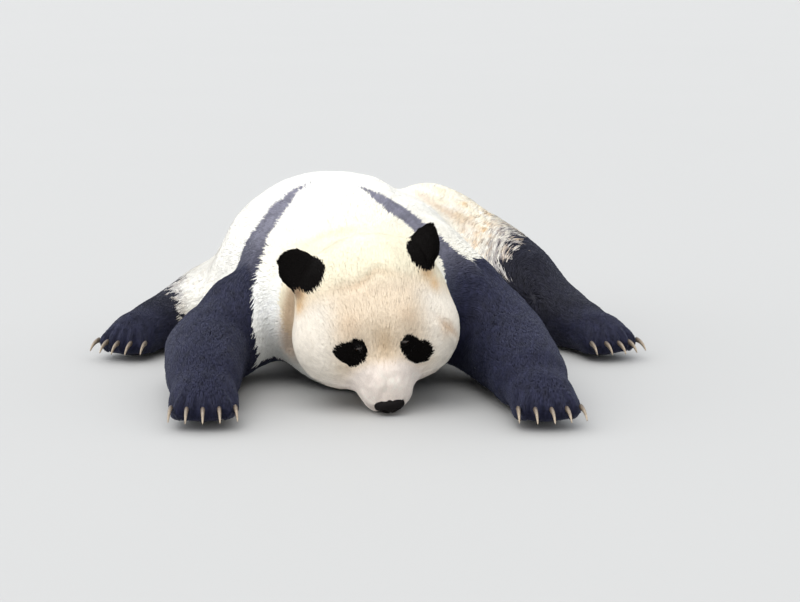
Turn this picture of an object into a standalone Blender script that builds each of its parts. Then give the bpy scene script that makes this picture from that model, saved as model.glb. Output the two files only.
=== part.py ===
"""Giant panda lying flat on its belly, asleep, life size.

The flesh is modelled whole, out to the tips of the coat: overlapping egg-shaped masses set along
the spine, the neck and the limbs are fused into one closed surface, smoothed, and laid on the floor.
Thin plane cuts then part it into head, neck, trunk and limbs. Ears, eyes, nose and claws are their
own solids, each seated in a pocket with a thin gap round it.

Metres, +Z up. The head points toward -Y and the animal's left side is +X. While the shape is being
worked out, x and y are counted from a spot on the floor under the nose; at the end everything is
moved so that the origin is the middle of the footprint.
"""

import math

import bmesh
import bpy
from mathutils import Matrix, Vector

# Fusing and parting the flesh
GAP = 0.0003                # air between solids that meet
VOXEL = 0.010               # grain of the surface that fuses the masses
SMOOTH_PASSES = 7
BODY_TRIANGLES = 3500       # of the whole surface, before the parting cuts
HEAD_TRIANGLES = 6600       # the same, for the finer surface that only the head is taken from
EAR_NOSE_FACETS = 2         # icosphere subdivisions
EYE_FACETS = 1
STEPS_PER_SPAN = 9          # masses between two stations of a body or limb
SINK = 0.015                # how far a mass that rests on the floor would reach below it, if not cut flat

# Head: side, dorsal and nose directions are its own axes, with its centre between the ears and the jaw
HEAD_CENTRE = Vector((-0.031, 0.106, 0.1695))
HEAD_PITCH = math.radians(57)       # muzzle below the horizontal
HEAD_ROLL = math.radians(7)         # left side raised
HEAD_YAW = math.radians(6.5)        # face turned to its left
EYE_SIDE, EYE_UP, EYE_ALONG = 0.0445, 0.0605, 0.0695
EYE_RADIUS = 0.0115
NOSE_UP, NOSE_ALONG = -0.004, 0.173
NOSE_SIZE = (0.030, 0.018, 0.017)   # half width, height and depth

# Ears: where each springs from the head, the way it points and how far its hollow turns outward
EAR_SIZE = (0.045, 0.052, 0.016)    # half width, height and thickness
EAR_HOLLOW = 0.011
EARS = {
    "ear_right": ((-0.134, 0.050, -0.113), (-0.67, 0.26, -0.69), math.radians(-8)),
    "ear_left": ((0.109, 0.077, -0.112), (0.38, 0.43, -0.81), math.radians(40)),
}

# Claws
CLAWS = 5
CLAW_LENGTH = 0.042
CLAW_ROOT = 0.0062
CLAW_TIP = 0.0009
CLAW_CURL = math.radians(58)
CLAW_SIDES = 5
CLAW_RINGS = 4

# Trunk: (x, y, z) of each mass, then its half width, half length and half height
TRUNK = (
    ((-0.062, 0.42, 0.150), (0.220, 0.13, 0.235)),
    ((-0.088, 0.56, 0.132), (0.272, 0.14, 0.280)),
    ((-0.122, 0.74, 0.126), (0.298, 0.16, 0.282)),
    ((-0.115, 0.92, 0.126), (0.312, 0.16, 0.266)),
    ((-0.050, 1.06, 0.126), (0.308, 0.16, 0.236)),
    ((0.005, 1.15, 0.126), (0.255, 0.16, 0.204)),
)
NECK = (
    ((-0.045, 0.20, 0.180), (0.150, 0.10, 0.150)),
    ((-0.062, 0.29, 0.165), (0.200, 0.11, 0.190)),
    ((-0.062, 0.42, 0.150), (0.220, 0.13, 0.235)),
)
# Limbs: right is -X, left is +X
ARM_RIGHT = (
    ((-0.180, 0.46, 0.215), (0.130, 0.130, 0.130)),
    ((-0.280, 0.41, 0.150), (0.115, 0.115, 0.120)),
    ((-0.372, 0.33, 0.090), (0.098, 0.105, 0.100)),
    ((-0.378, 0.19, 0.076), (0.086, 0.095, 0.088)),
    ((-0.368, 0.06, 0.064), (0.078, 0.082, 0.074)),
)
ARM_LEFT = (
    ((0.050, 0.46, 0.215), (0.130, 0.130, 0.130)),
    ((0.138, 0.41, 0.155), (0.115, 0.115, 0.118)),
    ((0.224, 0.33, 0.094), (0.098, 0.105, 0.102)),
    ((0.258, 0.19, 0.076), (0.086, 0.095, 0.088)),
    ((0.278, 0.06, 0.064), (0.078, 0.082, 0.074)),
)
LEG_RIGHT = (
    ((-0.140, 1.06, 0.140), (0.180, 0.170, 0.180)),
    ((-0.285, 0.98, 0.110), (0.150, 0.150, 0.145)),
    ((-0.395, 0.89, 0.088), (0.122, 0.125, 0.116)),
    ((-0.482, 0.79, 0.068), (0.094, 0.098, 0.084)),
    ((-0.535, 0.69, 0.058), (0.078, 0.082, 0.070)),
)
LEG_LEFT = (
    ((0.078, 1.09, 0.180), (0.168, 0.170, 0.180)),
    ((0.190, 1.00, 0.145), (0.150, 0.150, 0.155)),
    ((0.292, 0.90, 0.105), (0.122, 0.125, 0.126)),
    ((0.372, 0.80, 0.072), (0.094, 0.098, 0.088)),
    ((0.425, 0.70, 0.058), (0.078, 0.082, 0.070)),
)
TAIL = (
    ((0.050, 1.26, 0.190), (0.060, 0.050, 0.045)),
    ((0.062, 1.345, 0.130), (0.048, 0.045, 0.034)),
)
# Paws: middle of the pad, heading of the toes in the floor plane, half width, half length, half height
PAWS = {
    "paw_front_right": ((-0.360, -0.035, 0.050), math.radians(-86), (0.074, 0.082, 0.056)),
    "paw_front_left": ((0.290, -0.035, 0.050), math.radians(-82), (0.074, 0.082, 0.056)),
    "foot_right": ((-0.570, 0.622, 0.050), math.radians(-110), (0.070, 0.090, 0.058)),
    "foot_left": ((0.464, 0.622, 0.050), math.radians(-66), (0.070, 0.090, 0.058)),
}

# Parting cuts: a point on each plane, its normal, and what lies ahead of and behind it
CUTS = (
    ("flesh", (-0.27, 1.15, 0), (-0.73, 0.275, 0), "leg_right", "without_leg_right"),
    ("without_leg_right", (0.20, 1.20, 0), (0.78, 0.22, 0), "leg_left", "without_legs"),
    ("without_legs", (0, 0.50, 0), (0, 1, 0), "hind", "fore"),
    ("fore", (0, 0.365, 0), (0, -1, 0), "front", "chest_and_arms"),
    ("chest_and_arms", (-0.29, 0.365, 0), (-0.91, -0.41, 0), "upper_arm_right", "chest_and_left"),
    ("chest_and_left", (0.165, 0.365, 0), (0.92, -0.39, 0), "upper_arm_left", "chest"),
    ("front", (-0.250, 0.20, 0), (-0.40, -0.095, 0), "lower_arm_right", "front_and_left"),
    ("front_and_left", (0.165, 0.20, 0), (0.42, -0.030, 0), "lower_arm_left", "head_and_neck"),
    ("head_and_neck", (-0.04, 0.222, 0.20), (0, -0.97, 0.18), "head", "neck"),
    ("hind", (0.05, 1.308, 0.15), (0.05, 1, -0.05), "tail", "rump_and_belly"),
    ("rump_and_belly", (-0.10, 0.95, 0), (0.15, 1, 0), "rump", "belly"),
    ("lower_arm_right", (-0.368, 0.055, 0), (0.03, -1, 0), "paw_front_right", "forearm_right"),
    ("lower_arm_left", (0.280, 0.055, 0), (0.10, -1, 0), "paw_front_left", "forearm_left"),
    ("leg_right", (-0.432, 0.855, 0), (-0.70, -0.70, 0), "shank_and_foot_right", "thigh_right"),
    ("shank_and_foot_right", (-0.525, 0.680, 0), (-0.35, -0.90, 0), "foot_right", "shank_right"),
    ("leg_left", (0.330, 0.855, 0), (0.70, -0.70, 0), "shank_and_foot_left", "thigh_left"),
    ("shank_and_foot_left", (0.432, 0.680, 0), (0.35, -0.90, 0), "foot_left", "shank_left"),
)
BLACK_PARTS = ("arm", "paw", "foot", "shank", "ear")

COLOURS = {
    "white_fur": ((0.80, 0.74, 0.62, 1.0), 0.9),
    "black_fur": ((0.018, 0.019, 0.024, 1.0), 0.85),
    "nose_skin": ((0.012, 0.011, 0.011, 1.0), 0.4),
    "eye": ((0.020, 0.012, 0.008, 1.0), 0.1),
    "claw_horn": ((0.21, 0.17, 0.13, 1.0), 0.45),
}


def clear_scene():
    for old in list(bpy.data.objects):
        bpy.data.objects.remove(old, do_unlink=True)


def material(name):
    """A Principled material with the named finish's colour and roughness."""
    if name in bpy.data.materials:
        return bpy.data.materials[name]
    made = bpy.data.materials.new(name)
    made.use_nodes = True
    colour, roughness = COLOURS[name]
    shader = made.node_tree.nodes["Principled BSDF"]
    shader.inputs["Base Color"].default_value = colour
    shader.inputs["Roughness"].default_value = roughness
    return made


def add_object(name, mesh, finish):
    made = bpy.data.objects.new(name, mesh)
    bpy.context.scene.collection.objects.link(made)
    mesh.materials.clear()
    mesh.materials.append(material(finish))
    mesh.shade_smooth()
    return made


def hide_helper(helper):
    helper.hide_render = True
    helper.display_type = "WIRE"


def mesh_from(bm, name):
    mesh = bpy.data.meshes.new(name)
    bm.to_mesh(mesh)
    bm.free()
    return mesh


# ------------------------------------------------------------------ masses of flesh

def add_egg(bm, centre, radii, turn=None, subdivisions=3):
    """An ellipsoid with the given half axes, turned by a matrix."""
    place = Matrix.Translation(centre)
    if turn is not None:
        place = place @ turn.to_4x4()
    made = bmesh.ops.create_icosphere(
        bm, subdivisions=subdivisions, radius=1.0, matrix=place @ Matrix.Diagonal((*radii, 1.0))
    )
    return made["verts"]


def add_resting_egg(bm, centre, radii):
    """An ellipsoid whose lower half is squashed where it would reach too far under the floor."""
    deepest = centre.z + SINK
    for vert in add_egg(bm, centre, radii):
        if vert.co.z < centre.z and deepest < radii.z:
            vert.co.z = centre.z + (vert.co.z - centre.z) * deepest / radii.z


def catmull(a, b, c, d, t):
    """A smooth curve through b and c, for t from 0 to 1."""
    return 0.5 * (2 * b + (c - a) * t + (2 * a - 5 * b + 4 * c - d) * t**2
                  + (3 * b - a - 3 * c + d) * t**3)


def add_string_of_eggs(bm, stations):
    """Closely spaced ellipsoids along a smooth curve through the stations, blending size and place."""
    places = [Vector(place) for place, _ in stations]
    sizes = [Vector(size) for _, size in stations]
    last = len(stations) - 1
    for i in range(last):
        around = [max(i - 1, 0), i, i + 1, min(i + 2, last)]
        for step in range(STEPS_PER_SPAN + (i == last - 1)):
            t = step / STEPS_PER_SPAN
            centre = catmull(*[places[k] for k in around], t)
            add_resting_egg(bm, centre, catmull(*[sizes[k] for k in around], t))


def head_turn():
    """Columns are the head's side, dorsal and nose directions."""
    dorsal = Vector((0, -math.sin(HEAD_PITCH), math.cos(HEAD_PITCH)))
    nose = Vector((0, -math.cos(HEAD_PITCH), -math.sin(HEAD_PITCH)))
    square = Matrix((Vector((1, 0, 0)), dorsal, nose)).transposed()
    return Matrix.Rotation(HEAD_YAW, 3, "Z") @ Matrix.Rotation(-HEAD_ROLL, 3, "Y") @ square


def head_point(side, dorsal, nose):
    return HEAD_CENTRE + head_turn() @ Vector((side, dorsal, nose))


def add_head_egg(bm, place, radii, subdivisions=4):
    """An ellipsoid whose place and half axes are given along side, dorsal and nose."""
    add_egg(bm, head_point(*place), radii, head_turn(), subdivisions)


def add_head(bm):
    add_head_egg(bm, (0, 0.020, -0.068), (0.130, 0.108, 0.112))     # braincase and crown
    add_head_egg(bm, (0, 0.046, -0.005), (0.104, 0.068, 0.090))     # forehead
    add_head_egg(bm, (0, -0.050, -0.030), (0.130, 0.090, 0.110))    # throat
    for side in (-1, 1):
        add_head_egg(bm, (0.070 * side, 0.005, -0.050), (0.085, 0.088, 0.090))      # temple
        add_head_egg(bm, (0.087 * side, -0.018, 0.014), (0.085, 0.084, 0.096))      # cheek
        add_head_egg(bm, (0.076 * side, -0.038, 0.052), (0.070, 0.060, 0.064))      # jowl
        add_head_egg(bm, (0.050 * side, 0.046, 0.046), (0.042, 0.030, 0.040))       # brow
        add_head_egg(bm, (0.022 * side, -0.020, 0.140), (0.033, 0.042, 0.042))      # upper lip
    add_head_egg(bm, (0, 0.014, 0.092), (0.055, 0.042, 0.072))      # bridge
    add_head_egg(bm, (0, -0.010, 0.128), (0.052, 0.044, 0.058))     # muzzle
    add_head_egg(bm, (0, -0.054, 0.108), (0.050, 0.036, 0.060))     # chin


def paw_turn(heading):
    """Columns are across the paw, along the toes, and up."""
    along = Vector((math.cos(heading), math.sin(heading), 0))
    across = Vector((along.y, -along.x, 0))
    return Matrix((across, along, Vector((0, 0, 1)))).transposed()


def add_paw(bm, centre, heading, size):
    """A pad and a row of five round toes, the middle ones furthest forward."""
    turn = paw_turn(heading)
    centre = Vector(centre)
    wide, long, high = size
    add_egg(bm, centre, size, turn)
    for toe in range(CLAWS):
        across = (toe - 2) / 2
        place = Vector((0.82 * wide * across, long * (0.80 - 0.20 * across**2), -0.28 * high))
        add_egg(bm, centre + turn @ place, (0.26 * wide, 0.40 * long, 0.64 * high), turn)


def evaluated_mesh(thing):
    """The object's mesh as its modifiers leave it; the object itself goes."""
    bpy.context.view_layer.update()
    graph = bpy.context.evaluated_depsgraph_get()
    mesh = bpy.data.meshes.new_from_object(thing.evaluated_get(graph), depsgraph=graph)
    bpy.data.objects.remove(thing, do_unlink=True)
    return mesh


def fused(bm):
    """The masses as one closed, smoothed surface of fine quads."""
    rough = add_object("masses", mesh_from(bm, "masses"), "white_fur")
    fuse = rough.modifiers.new("fuse", "REMESH")
    fuse.mode = "VOXEL"
    fuse.voxel_size = VOXEL
    soften = rough.modifiers.new("soften", "SMOOTH")
    soften.factor = 0.5
    soften.iterations = SMOOTH_PASSES
    return evaluated_mesh(rough)


def thinned(dense, triangles):
    """A copy of a mesh of quads with about this many triangles."""
    copy = add_object("thinned", dense.copy(), "white_fur")
    thin = copy.modifiers.new("thin", "DECIMATE")
    thin.ratio = triangles / (2 * len(dense.polygons))
    return evaluated_mesh(copy)


def whole_flesh():
    bm = bmesh.new()
    for stations in (TRUNK, NECK, ARM_RIGHT, ARM_LEFT, LEG_RIGHT, LEG_LEFT, TAIL):
        add_string_of_eggs(bm, stations)
    add_head(bm)
    for centre, heading, size in PAWS.values():
        add_paw(bm, centre, heading, size)
    return fused(bm)


# ------------------------------------------------------------------ parting cuts

def kept_side(mesh, point, normal, name):
    """The part of a closed mesh that lies on the side the normal points to, with the cut face closed."""
    bm = bmesh.new()
    bm.from_mesh(mesh)
    geometry = bm.verts[:] + bm.edges[:] + bm.faces[:]
    bmesh.ops.bisect_plane(
        bm, geom=geometry, dist=1e-6, plane_co=point, plane_no=normal, clear_inner=True
    )
    rim = [edge for edge in bm.edges if edge.is_boundary]
    bmesh.ops.holes_fill(bm, edges=rim, sides=0)
    bmesh.ops.triangulate(bm, faces=bm.faces[:])
    bmesh.ops.recalc_face_normals(bm, faces=bm.faces[:])
    return mesh_from(bm, name)


def parted(mesh, point, normal, ahead_name, behind_name):
    """The two sides of a plane, each half a gap away from it."""
    point = Vector(point)
    normal = Vector(normal).normalized()
    ahead = kept_side(mesh, point + normal * GAP / 2, normal, ahead_name)
    behind = kept_side(mesh, point - normal * GAP / 2, -normal, behind_name)
    return ahead, behind


def part_flesh(flesh):
    """Lays the flesh on the floor and makes every cut: a dictionary of the meshes left whole at the end."""
    pieces = {"flesh": kept_side(flesh, Vector((0, 0, 0)), Vector((0, 0, 1)), "flesh")}
    for source, point, normal, ahead_name, behind_name in CUTS:
        whole = pieces.pop(source)
        pieces[ahead_name], pieces[behind_name] = parted(whole, point, normal, ahead_name, behind_name)
    return pieces


# ------------------------------------------------------------------ ears, eyes, nose and claws

def head_egg_mesh(name, place, radii, grow, facets):
    bm = bmesh.new()
    add_head_egg(bm, place, [radius + grow for radius in radii], facets)
    return mesh_from(bm, name)


def eye_mesh(name, grow=0.0):
    side = 1 if name.startswith("eye_left") else -1
    return head_egg_mesh(name, (side * EYE_SIDE, EYE_UP, EYE_ALONG), (EYE_RADIUS,) * 3, grow, EYE_FACETS)


def nose_mesh(name, grow=0.0):
    return head_egg_mesh(name, (0, NOSE_UP, NOSE_ALONG), NOSE_SIZE, grow, EAR_NOSE_FACETS)


def ear_mesh(name, grow=0.0):
    """A thick round leaf, hollow on the side it faces, in the head's own directions."""
    root, pointing, outward = next(EARS[key] for key in EARS if name.startswith(key))
    side = math.copysign(1, root[0])
    up = Vector(pointing).normalized()
    facing = Vector((0, 1, 0))
    facing = (facing - up * facing.dot(up)).normalized()
    facing = Matrix.Rotation(side * outward, 3, -up) @ facing
    turn = Matrix((up.cross(facing), up, facing)).transposed()
    wide, high, thick = [half + grow for half in EAR_SIZE]
    bm = bmesh.new()
    bmesh.ops.create_icosphere(bm, subdivisions=EAR_NOSE_FACETS, radius=1.0)
    for vert in bm.verts:
        x, y, z = vert.co
        # Hollow: both faces sink in the middle, so that the wall keeps its thickness
        sink = EAR_HOLLOW * max(0.0, 1 - x * x - y * y)
        local = Vector((wide * x * (1 - 0.12 * y), high * y, thick * z - sink))
        vert.co = head_point(*(Vector(root) + turn @ local))
    return mesh_from(bm, name)


def claw_rings(grow):
    """Distances along and down, lean and radius for each ring of a claw curling toward the floor."""
    for ring in range(CLAW_RINGS + 1):
        t = ring / CLAW_RINGS
        lean = CLAW_CURL * t
        reach = CLAW_LENGTH / CLAW_CURL
        taper = CLAW_TIP + (CLAW_ROOT - CLAW_TIP) * (1 - t) ** 0.7
        yield reach * math.sin(lean) - grow * (ring == 0), reach * (1 - math.cos(lean)), lean, taper + grow


def add_claw(bm, root, turn, grow):
    rings = []
    for along, down, lean, radius in claw_rings(grow):
        centre = Vector((0, along, -down))
        ring = []
        for corner in range(CLAW_SIDES):
            angle = 2 * math.pi * corner / CLAW_SIDES
            outward = Vector((
                0.72 * radius * math.cos(angle),
                radius * math.sin(angle) * math.sin(lean),
                radius * math.sin(angle) * math.cos(lean),
            ))
            ring.append(bm.verts.new(root + turn @ (centre + outward)))
        rings.append(ring)
    for near, far in zip(rings, rings[1:]):
        for corner in range(CLAW_SIDES):
            after = (corner + 1) % CLAW_SIDES
            bm.faces.new((near[corner], near[after], far[after], far[corner]))
    bm.faces.new(rings[0][::-1])
    bm.faces.new(rings[-1])


def claw_place(paw, toe):
    """Root of one claw in the top of its toe, and the way it is turned."""
    centre, heading, (wide, long, high) = PAWS[paw]
    across = (toe - 2) / 2
    place = Vector((0.82 * wide * across, long * (1.06 - 0.20 * across**2), -0.10 * high))
    fan = math.radians(7) * across
    return Vector(centre) + paw_turn(heading) @ place, paw_turn(heading - fan)


def claw_mesh(name, paw, toes, grow=0.0):
    bm = bmesh.new()
    for toe in toes:
        add_claw(bm, *claw_place(paw, toe), grow)
    bmesh.ops.recalc_face_normals(bm, faces=bm.faces[:])
    return mesh_from(bm, name)


def sink_into(flesh, small_mesh):
    """A pocket in the flesh, a gap larger than the part that sits in it."""
    cutter = add_object(small_mesh.name, small_mesh, "white_fur")
    hide_helper(cutter)
    pocket = flesh.modifiers.new(small_mesh.name, "BOOLEAN")
    pocket.operation = "DIFFERENCE"
    pocket.object = cutter


def add_head_parts(head):
    for name, shape, finish in (
        ("ear_right", ear_mesh, "black_fur"),
        ("ear_left", ear_mesh, "black_fur"),
        ("eye_right", eye_mesh, "eye"),
        ("eye_left", eye_mesh, "eye"),
        ("nose", nose_mesh, "nose_skin"),
    ):
        add_object(name, shape(name), finish)
        sink_into(head, shape(name + "_pocket", GAP))


def add_claws(paw_name, paw):
    for toe in range(CLAWS):
        name = f"claw_{paw_name}_{toe + 1}"
        add_object(name, claw_mesh(name, paw_name, [toe]), "claw_horn")
    sink_into(paw, claw_mesh(paw_name + "_pockets", paw_name, range(CLAWS), GAP))


def centre_on_footprint(objects):
    """Moves every mesh so that the origin is the middle of the box round the visible parts, at the floor."""
    corners = [vert.co for thing in objects if not thing.hide_render for vert in thing.data.vertices]
    low = [min(corner[axis] for corner in corners) for axis in range(2)]
    high = [max(corner[axis] for corner in corners) for axis in range(2)]
    shift = Matrix.Translation((-(low[0] + high[0]) / 2, -(low[1] + high[1]) / 2, 0))
    for thing in objects:
        thing.data.transform(shift)


def main():
    clear_scene()
    dense = whole_flesh()
    pieces = part_flesh(thinned(dense, BODY_TRIANGLES))
    pieces["head"] = part_flesh(thinned(dense, HEAD_TRIANGLES))["head"]
    made = {}
    for name, mesh in pieces.items():
        black = any(word in name for word in BLACK_PARTS)
        made[name] = add_object(name, mesh, "black_fur" if black else "white_fur")
    add_head_parts(made["head"])
    for paw_name in PAWS:
        add_claws(paw_name, made[paw_name])
    centre_on_footprint(bpy.data.objects[:])


main()
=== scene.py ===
"""Looks of the sleeping giant panda: one skin, a coat of small solid tufts, eyes, nose, claws and the stage.

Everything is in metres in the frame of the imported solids: +Z up, the face toward -Y, the animal's left side
+X. Two more sets of axes are used for places on the animal. Head places are (side, dorsal, along), counted
from the middle of the head, with "along" running out through the muzzle. Body places are counted from the
spot on the floor under the nose.
"""

import math

import bmesh
import bpy
import numpy as np
from mathutils import Matrix, Vector
from mathutils.bvhtree import BVHTree


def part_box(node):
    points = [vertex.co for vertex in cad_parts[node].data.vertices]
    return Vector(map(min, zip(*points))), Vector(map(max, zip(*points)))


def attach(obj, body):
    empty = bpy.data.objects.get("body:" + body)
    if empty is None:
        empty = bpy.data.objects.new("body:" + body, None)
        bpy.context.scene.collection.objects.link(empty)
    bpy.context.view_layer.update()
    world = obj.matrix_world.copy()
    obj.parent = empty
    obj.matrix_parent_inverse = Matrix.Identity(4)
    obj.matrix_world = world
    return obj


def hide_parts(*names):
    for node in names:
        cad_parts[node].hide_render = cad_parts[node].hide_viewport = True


bl_info = {
    "name": "Sleeping Giant Panda",
    "version": (1, 0, 0),
    "blender": (4, 5, 0),
    "location": "3D View > Sidebar > Panda",
    "description": "Skin, tufted coat, eyes, nose and claws of a giant panda asleep on its belly",
    "category": "Object",
}

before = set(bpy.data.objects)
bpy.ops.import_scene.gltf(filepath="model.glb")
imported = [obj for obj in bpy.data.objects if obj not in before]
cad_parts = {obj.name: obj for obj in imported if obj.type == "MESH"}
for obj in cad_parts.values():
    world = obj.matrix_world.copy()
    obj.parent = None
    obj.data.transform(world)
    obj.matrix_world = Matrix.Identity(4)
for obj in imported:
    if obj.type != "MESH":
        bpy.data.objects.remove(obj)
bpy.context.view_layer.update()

SIDES = ("right", "left")


def both(*parts):
    """The nodes of parts that the animal has on both sides."""
    return tuple(f"{part}_{side}" for part in parts for side in SIDES)


FLESH = (
    "head", "neck", "chest", "belly", "rump", "tail",
    *both("ear", "upper_arm", "forearm", "paw_front", "thigh", "shank", "foot"),
)
FILLED = ("nose", *both("eye"))     # fill their own pockets in the head before it is skinned
TRUNK = ("neck", "chest", "belly")
PAWS = both("paw_front", "foot")
EARS = both("ear")
CLAWS = 5
ALL_DARK = ("shank_left", *both("ear", "upper_arm", "forearm", "paw_front", "foot"))

# Where the solids put the eyes and the nose on the head
EYE_PLACE = np.array((0.0445, 0.0605, 0.0695))      # its side is minus for the right eye
NOSE_PLACE = np.array((0.0, -0.004, 0.173))
NOSE_SIZE = np.array((0.030, 0.018, 0.017))         # half width, height and depth
EYE_RADIUS = 0.0115

# Skinning
GROWTH = 0.0008         # each solid grows by this before they fuse, so that the parting gaps close
GRAIN = 0.0092          # of the fused surface
FINE_STEPS = 3          # how often the skin round the eyes is divided after the whole head has been
LID_REACH = 0.028       # how far from the eye that is at first
TOE_REACH = 0.065       # how far from its claw the skin of a toe is divided
SINKING = 0.85          # how far the skin is drawn in, as a share of the coat's depth
FAR = 1e9               # farther than anything on the animal

# Eyelids: the slit's half length and half height, and the skin's thickness over the eyeball
SLIT_LENGTH = 0.0088
SLIT_HEIGHT = 0.0015
LID_THICKNESS = 0.0012
LID_FADE = (48, 82)     # degrees from the gaze between which the lids pass into the head
SOCKET_REACH = 0.030    # how far from the eyeball's middle its lids may lie
EYE_FACING = np.array((0.16, 0.63, 0.76))           # way the eye looks; its side is minus for the right eye
EYE_FACING /= np.linalg.norm(EYE_FACING)

# Eye patches, over (side, along): the middle, half axes and slope of an oval, then the middle and radius of
# the round lobe about the eye itself
PATCHES = {
    "right": (0.0660, 0.0770, 0.0255, 0.0140, math.radians(-20), 0.0490, 0.0815, 0.0200),
    "left": (0.0710, 0.0880, 0.0255, 0.0140, math.radians(-14), 0.0535, 0.0855, 0.0205),
}

# Black root of each ear on the head: how far it lies from the middle of the ear's box in head axes, and reach
EAR_ROOTS = {"right": ((0.018, 0.027, 0.033), 0.0355), "left": ((-0.005, 0.011, 0.029), 0.032)}

# Painted shade on the head, in warm browns, below each ear and in the fold beside the left eye: colour, its
# share, head place and size
PAINTED_HEAD_SHADE = (
    ("orange_stain_and_shade", 0.85, (-0.136, 0.052, -0.056), 0.020), ("orange_stain_and_shade", 0.85, (-0.146, 0.038, -0.034), 0.017),
    ("orange_stain_and_shade", 0.85, (0.108, 0.083, -0.050), 0.017), ("orange_stain_and_shade", 0.85, (0.122, 0.070, -0.028), 0.014),
    ("brown_stain_and_shade", 0.90, (-0.142, 0.044, -0.060), 0.018), ("brown_stain_and_shade", 0.45, (0.106, 0.084, -0.053), 0.011),
    ("crease", 0.50, (0.130, 0.040, 0.058), 0.018),
)

# Folds of loose skin over the head, as lines through head places, with painted shade along them
RUFF_FOLD = ((-0.152, -0.050, -0.096), (-0.163, -0.077, -0.068), (-0.169, -0.103, -0.045),
             (-0.170, -0.139, -0.024))
# the line over the back of the crown is not sunk into the skin: it only carries painted shade
CROWN_SHADE_LINE = ((-0.121, -0.058, -0.204), (-0.072, -0.036, -0.212), (-0.017, -0.019, -0.211))
# Crease over the forehead, sunk into the skin with painted shade along it: how far along the head it lies at
# each place across it
BROW_CREASE = ((-0.074, -0.033), (-0.032, -0.027), (-0.014, -0.036), (0.007, -0.050), (0.033, -0.044),
               (0.063, -0.034))

# Where the white of the ruff ends on the right forearm: height, and place across the body
RUFF_EDGE = ((0.04, -0.235), (0.076, -0.264), (0.116, -0.280), (0.149, -0.284), (0.188, -0.272),
             (0.23, -0.262))
# Where the dark of each hind leg starts: distance behind the nose, and place across the body
KNEE_EDGE = ((0.55, 0.460), (0.66, 0.478), (0.70, 0.488), (0.75, 0.499), (0.80, 0.502), (0.86, 0.492),
             (0.95, 0.440), (1.10, 0.405))
THIGH_EDGE = ((0.60, 0.250), (0.76, 0.256), (0.83, 0.276), (0.95, 0.289), (1.02, 0.292), (1.15, 0.285))
HIND_START = 0.56       # nothing of the hind legs' markings lies in front of this
CLEAR = 0.1             # stands for well inside a marking, or minus for well outside

# Hollows behind the arms and folds of the flanks: a line through body places, its depth and its half width
ARM_HOLLOWS = (
    (((-0.345, 0.430, 0.215), (-0.385, 0.420, 0.190), (-0.425, 0.410, 0.160)), 0.018, 0.050),
    (((-0.328, 0.378, 0.255), (-0.344, 0.327, 0.227), (-0.366, 0.313, 0.208), (-0.425, 0.334, 0.172),
      (-0.460, 0.300, 0.150)), 0.019, 0.055),
    (((0.164, 0.376, 0.277), (0.191, 0.352, 0.251), (0.239, 0.338, 0.214)), 0.010, 0.040),
)
FLANK_FOLDS = (
    (((0.030, 0.94, 0.34), (0.090, 0.87, 0.31), (0.140, 0.875, 0.26), (0.215, 0.84, 0.18)), 0.012, 0.024),
    (((-0.205, 0.90, 0.32), (-0.275, 0.85, 0.27), (-0.335, 0.82, 0.19)), 0.008, 0.024),
)

# Spots where loose flesh sinks, or stays up if minus: a share of the height, then the spot's middle and width
# across the body, and its middle and length behind the nose
SAGS = (
    (0.022, 0.030, 0.050, 0.74, 0.15), (0.034, 0.028, 0.042, 0.58, 0.12), (-0.027, -0.230, 0.100, 0.66, 0.20),
    (-0.015, -0.320, 0.045, 0.67, 0.16), (0.026, 0.014, 0.030, 1.00, 0.14), (0.030, 0.034, 0.026, 1.04, 0.13),
    (0.024, 0.025, 0.055, 0.97, 0.13), (0.035, 0.235, 0.040, 0.94, 0.10),
)

# Dark saddle over the shoulders: angle round the trunk from its top, then the distance behind the nose at
# which the band starts and ends; minus is the right side
TRUNK_AXIS = (-0.060, 0.15)                         # side and height
SADDLE = (
    (-180, 0.20, 0.49), (-125, 0.295, 0.50), (-90, 0.305, 0.495), (-72, 0.296, 0.494), (-62, 0.325, 0.501),
    (-42, 0.436, 0.513), (-30, 0.501, 0.527), (-22, 0.537, 0.524), (-4, 0.470, 0.450), (2, 0.425, 0.447),
    (13, 0.330, 0.412), (33, 0.270, 0.366), (54, 0.262, 0.345), (66, 0.222, 0.346), (77, 0.21, 0.345),
    (90, 0.20, 0.42), (180, 0.18, 0.48),
)

# Fur by the part it grows on: depth of the coat, length and width of a tuft, distance between roots, and
# how far it stands off the skin, from 0, hugging it, to 1, straight
FIELDS = ("depth", "length", "width", "spacing", "stand")
FUR = {
    "head": (0.0042, 0.0150, 0.00135, 0.00195, 0.09),
    "ear": (0.0045, 0.0140, 0.00125, 0.00165, 0.60),
    "neck": (0.0085, 0.0240, 0.00160, 0.00240, 0.22),
    "chest": (0.0075, 0.0280, 0.00180, 0.00275, 0.13),
    "belly": (0.0072, 0.0310, 0.00190, 0.00290, 0.10),
    "rump": (0.0090, 0.0350, 0.00185, 0.00285, 0.15),
    "tail": (0.0110, 0.0400, 0.00210, 0.00290, 0.40),
    "thigh": (0.0095, 0.0360, 0.00200, 0.00290, 0.25),
    "shank": (0.0075, 0.0280, 0.00185, 0.00280, 0.15),
    "foot": (0.0050, 0.0160, 0.00150, 0.00230, 0.25),
    "upper_arm": (0.0080, 0.0320, 0.00185, 0.00270, 0.12),
    "forearm": (0.0070, 0.0280, 0.00175, 0.00265, 0.12),
    "paw_front": (0.0050, 0.0150, 0.00145, 0.00215, 0.25),
}
MUZZLE_FUR = (0.0026, 0.0065, 0.00085, 0.00130, 0.20)
PATCH_FUR = (0.0036, 0.0095, 0.00115, 0.00170, 0.12)

# The run of the fur down each limb: a part, and the parts that its fur comes from and goes to
LIE_RUNS = (
    ("upper_arm", "chest", "forearm"), ("forearm", "upper_arm", "paw_front"),
    ("paw_front", "forearm", "claw_paw_front"), ("thigh", "rump", "shank"), ("shank", "thigh", "foot"),
    ("foot", "shank", "claw_foot"),
)

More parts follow.
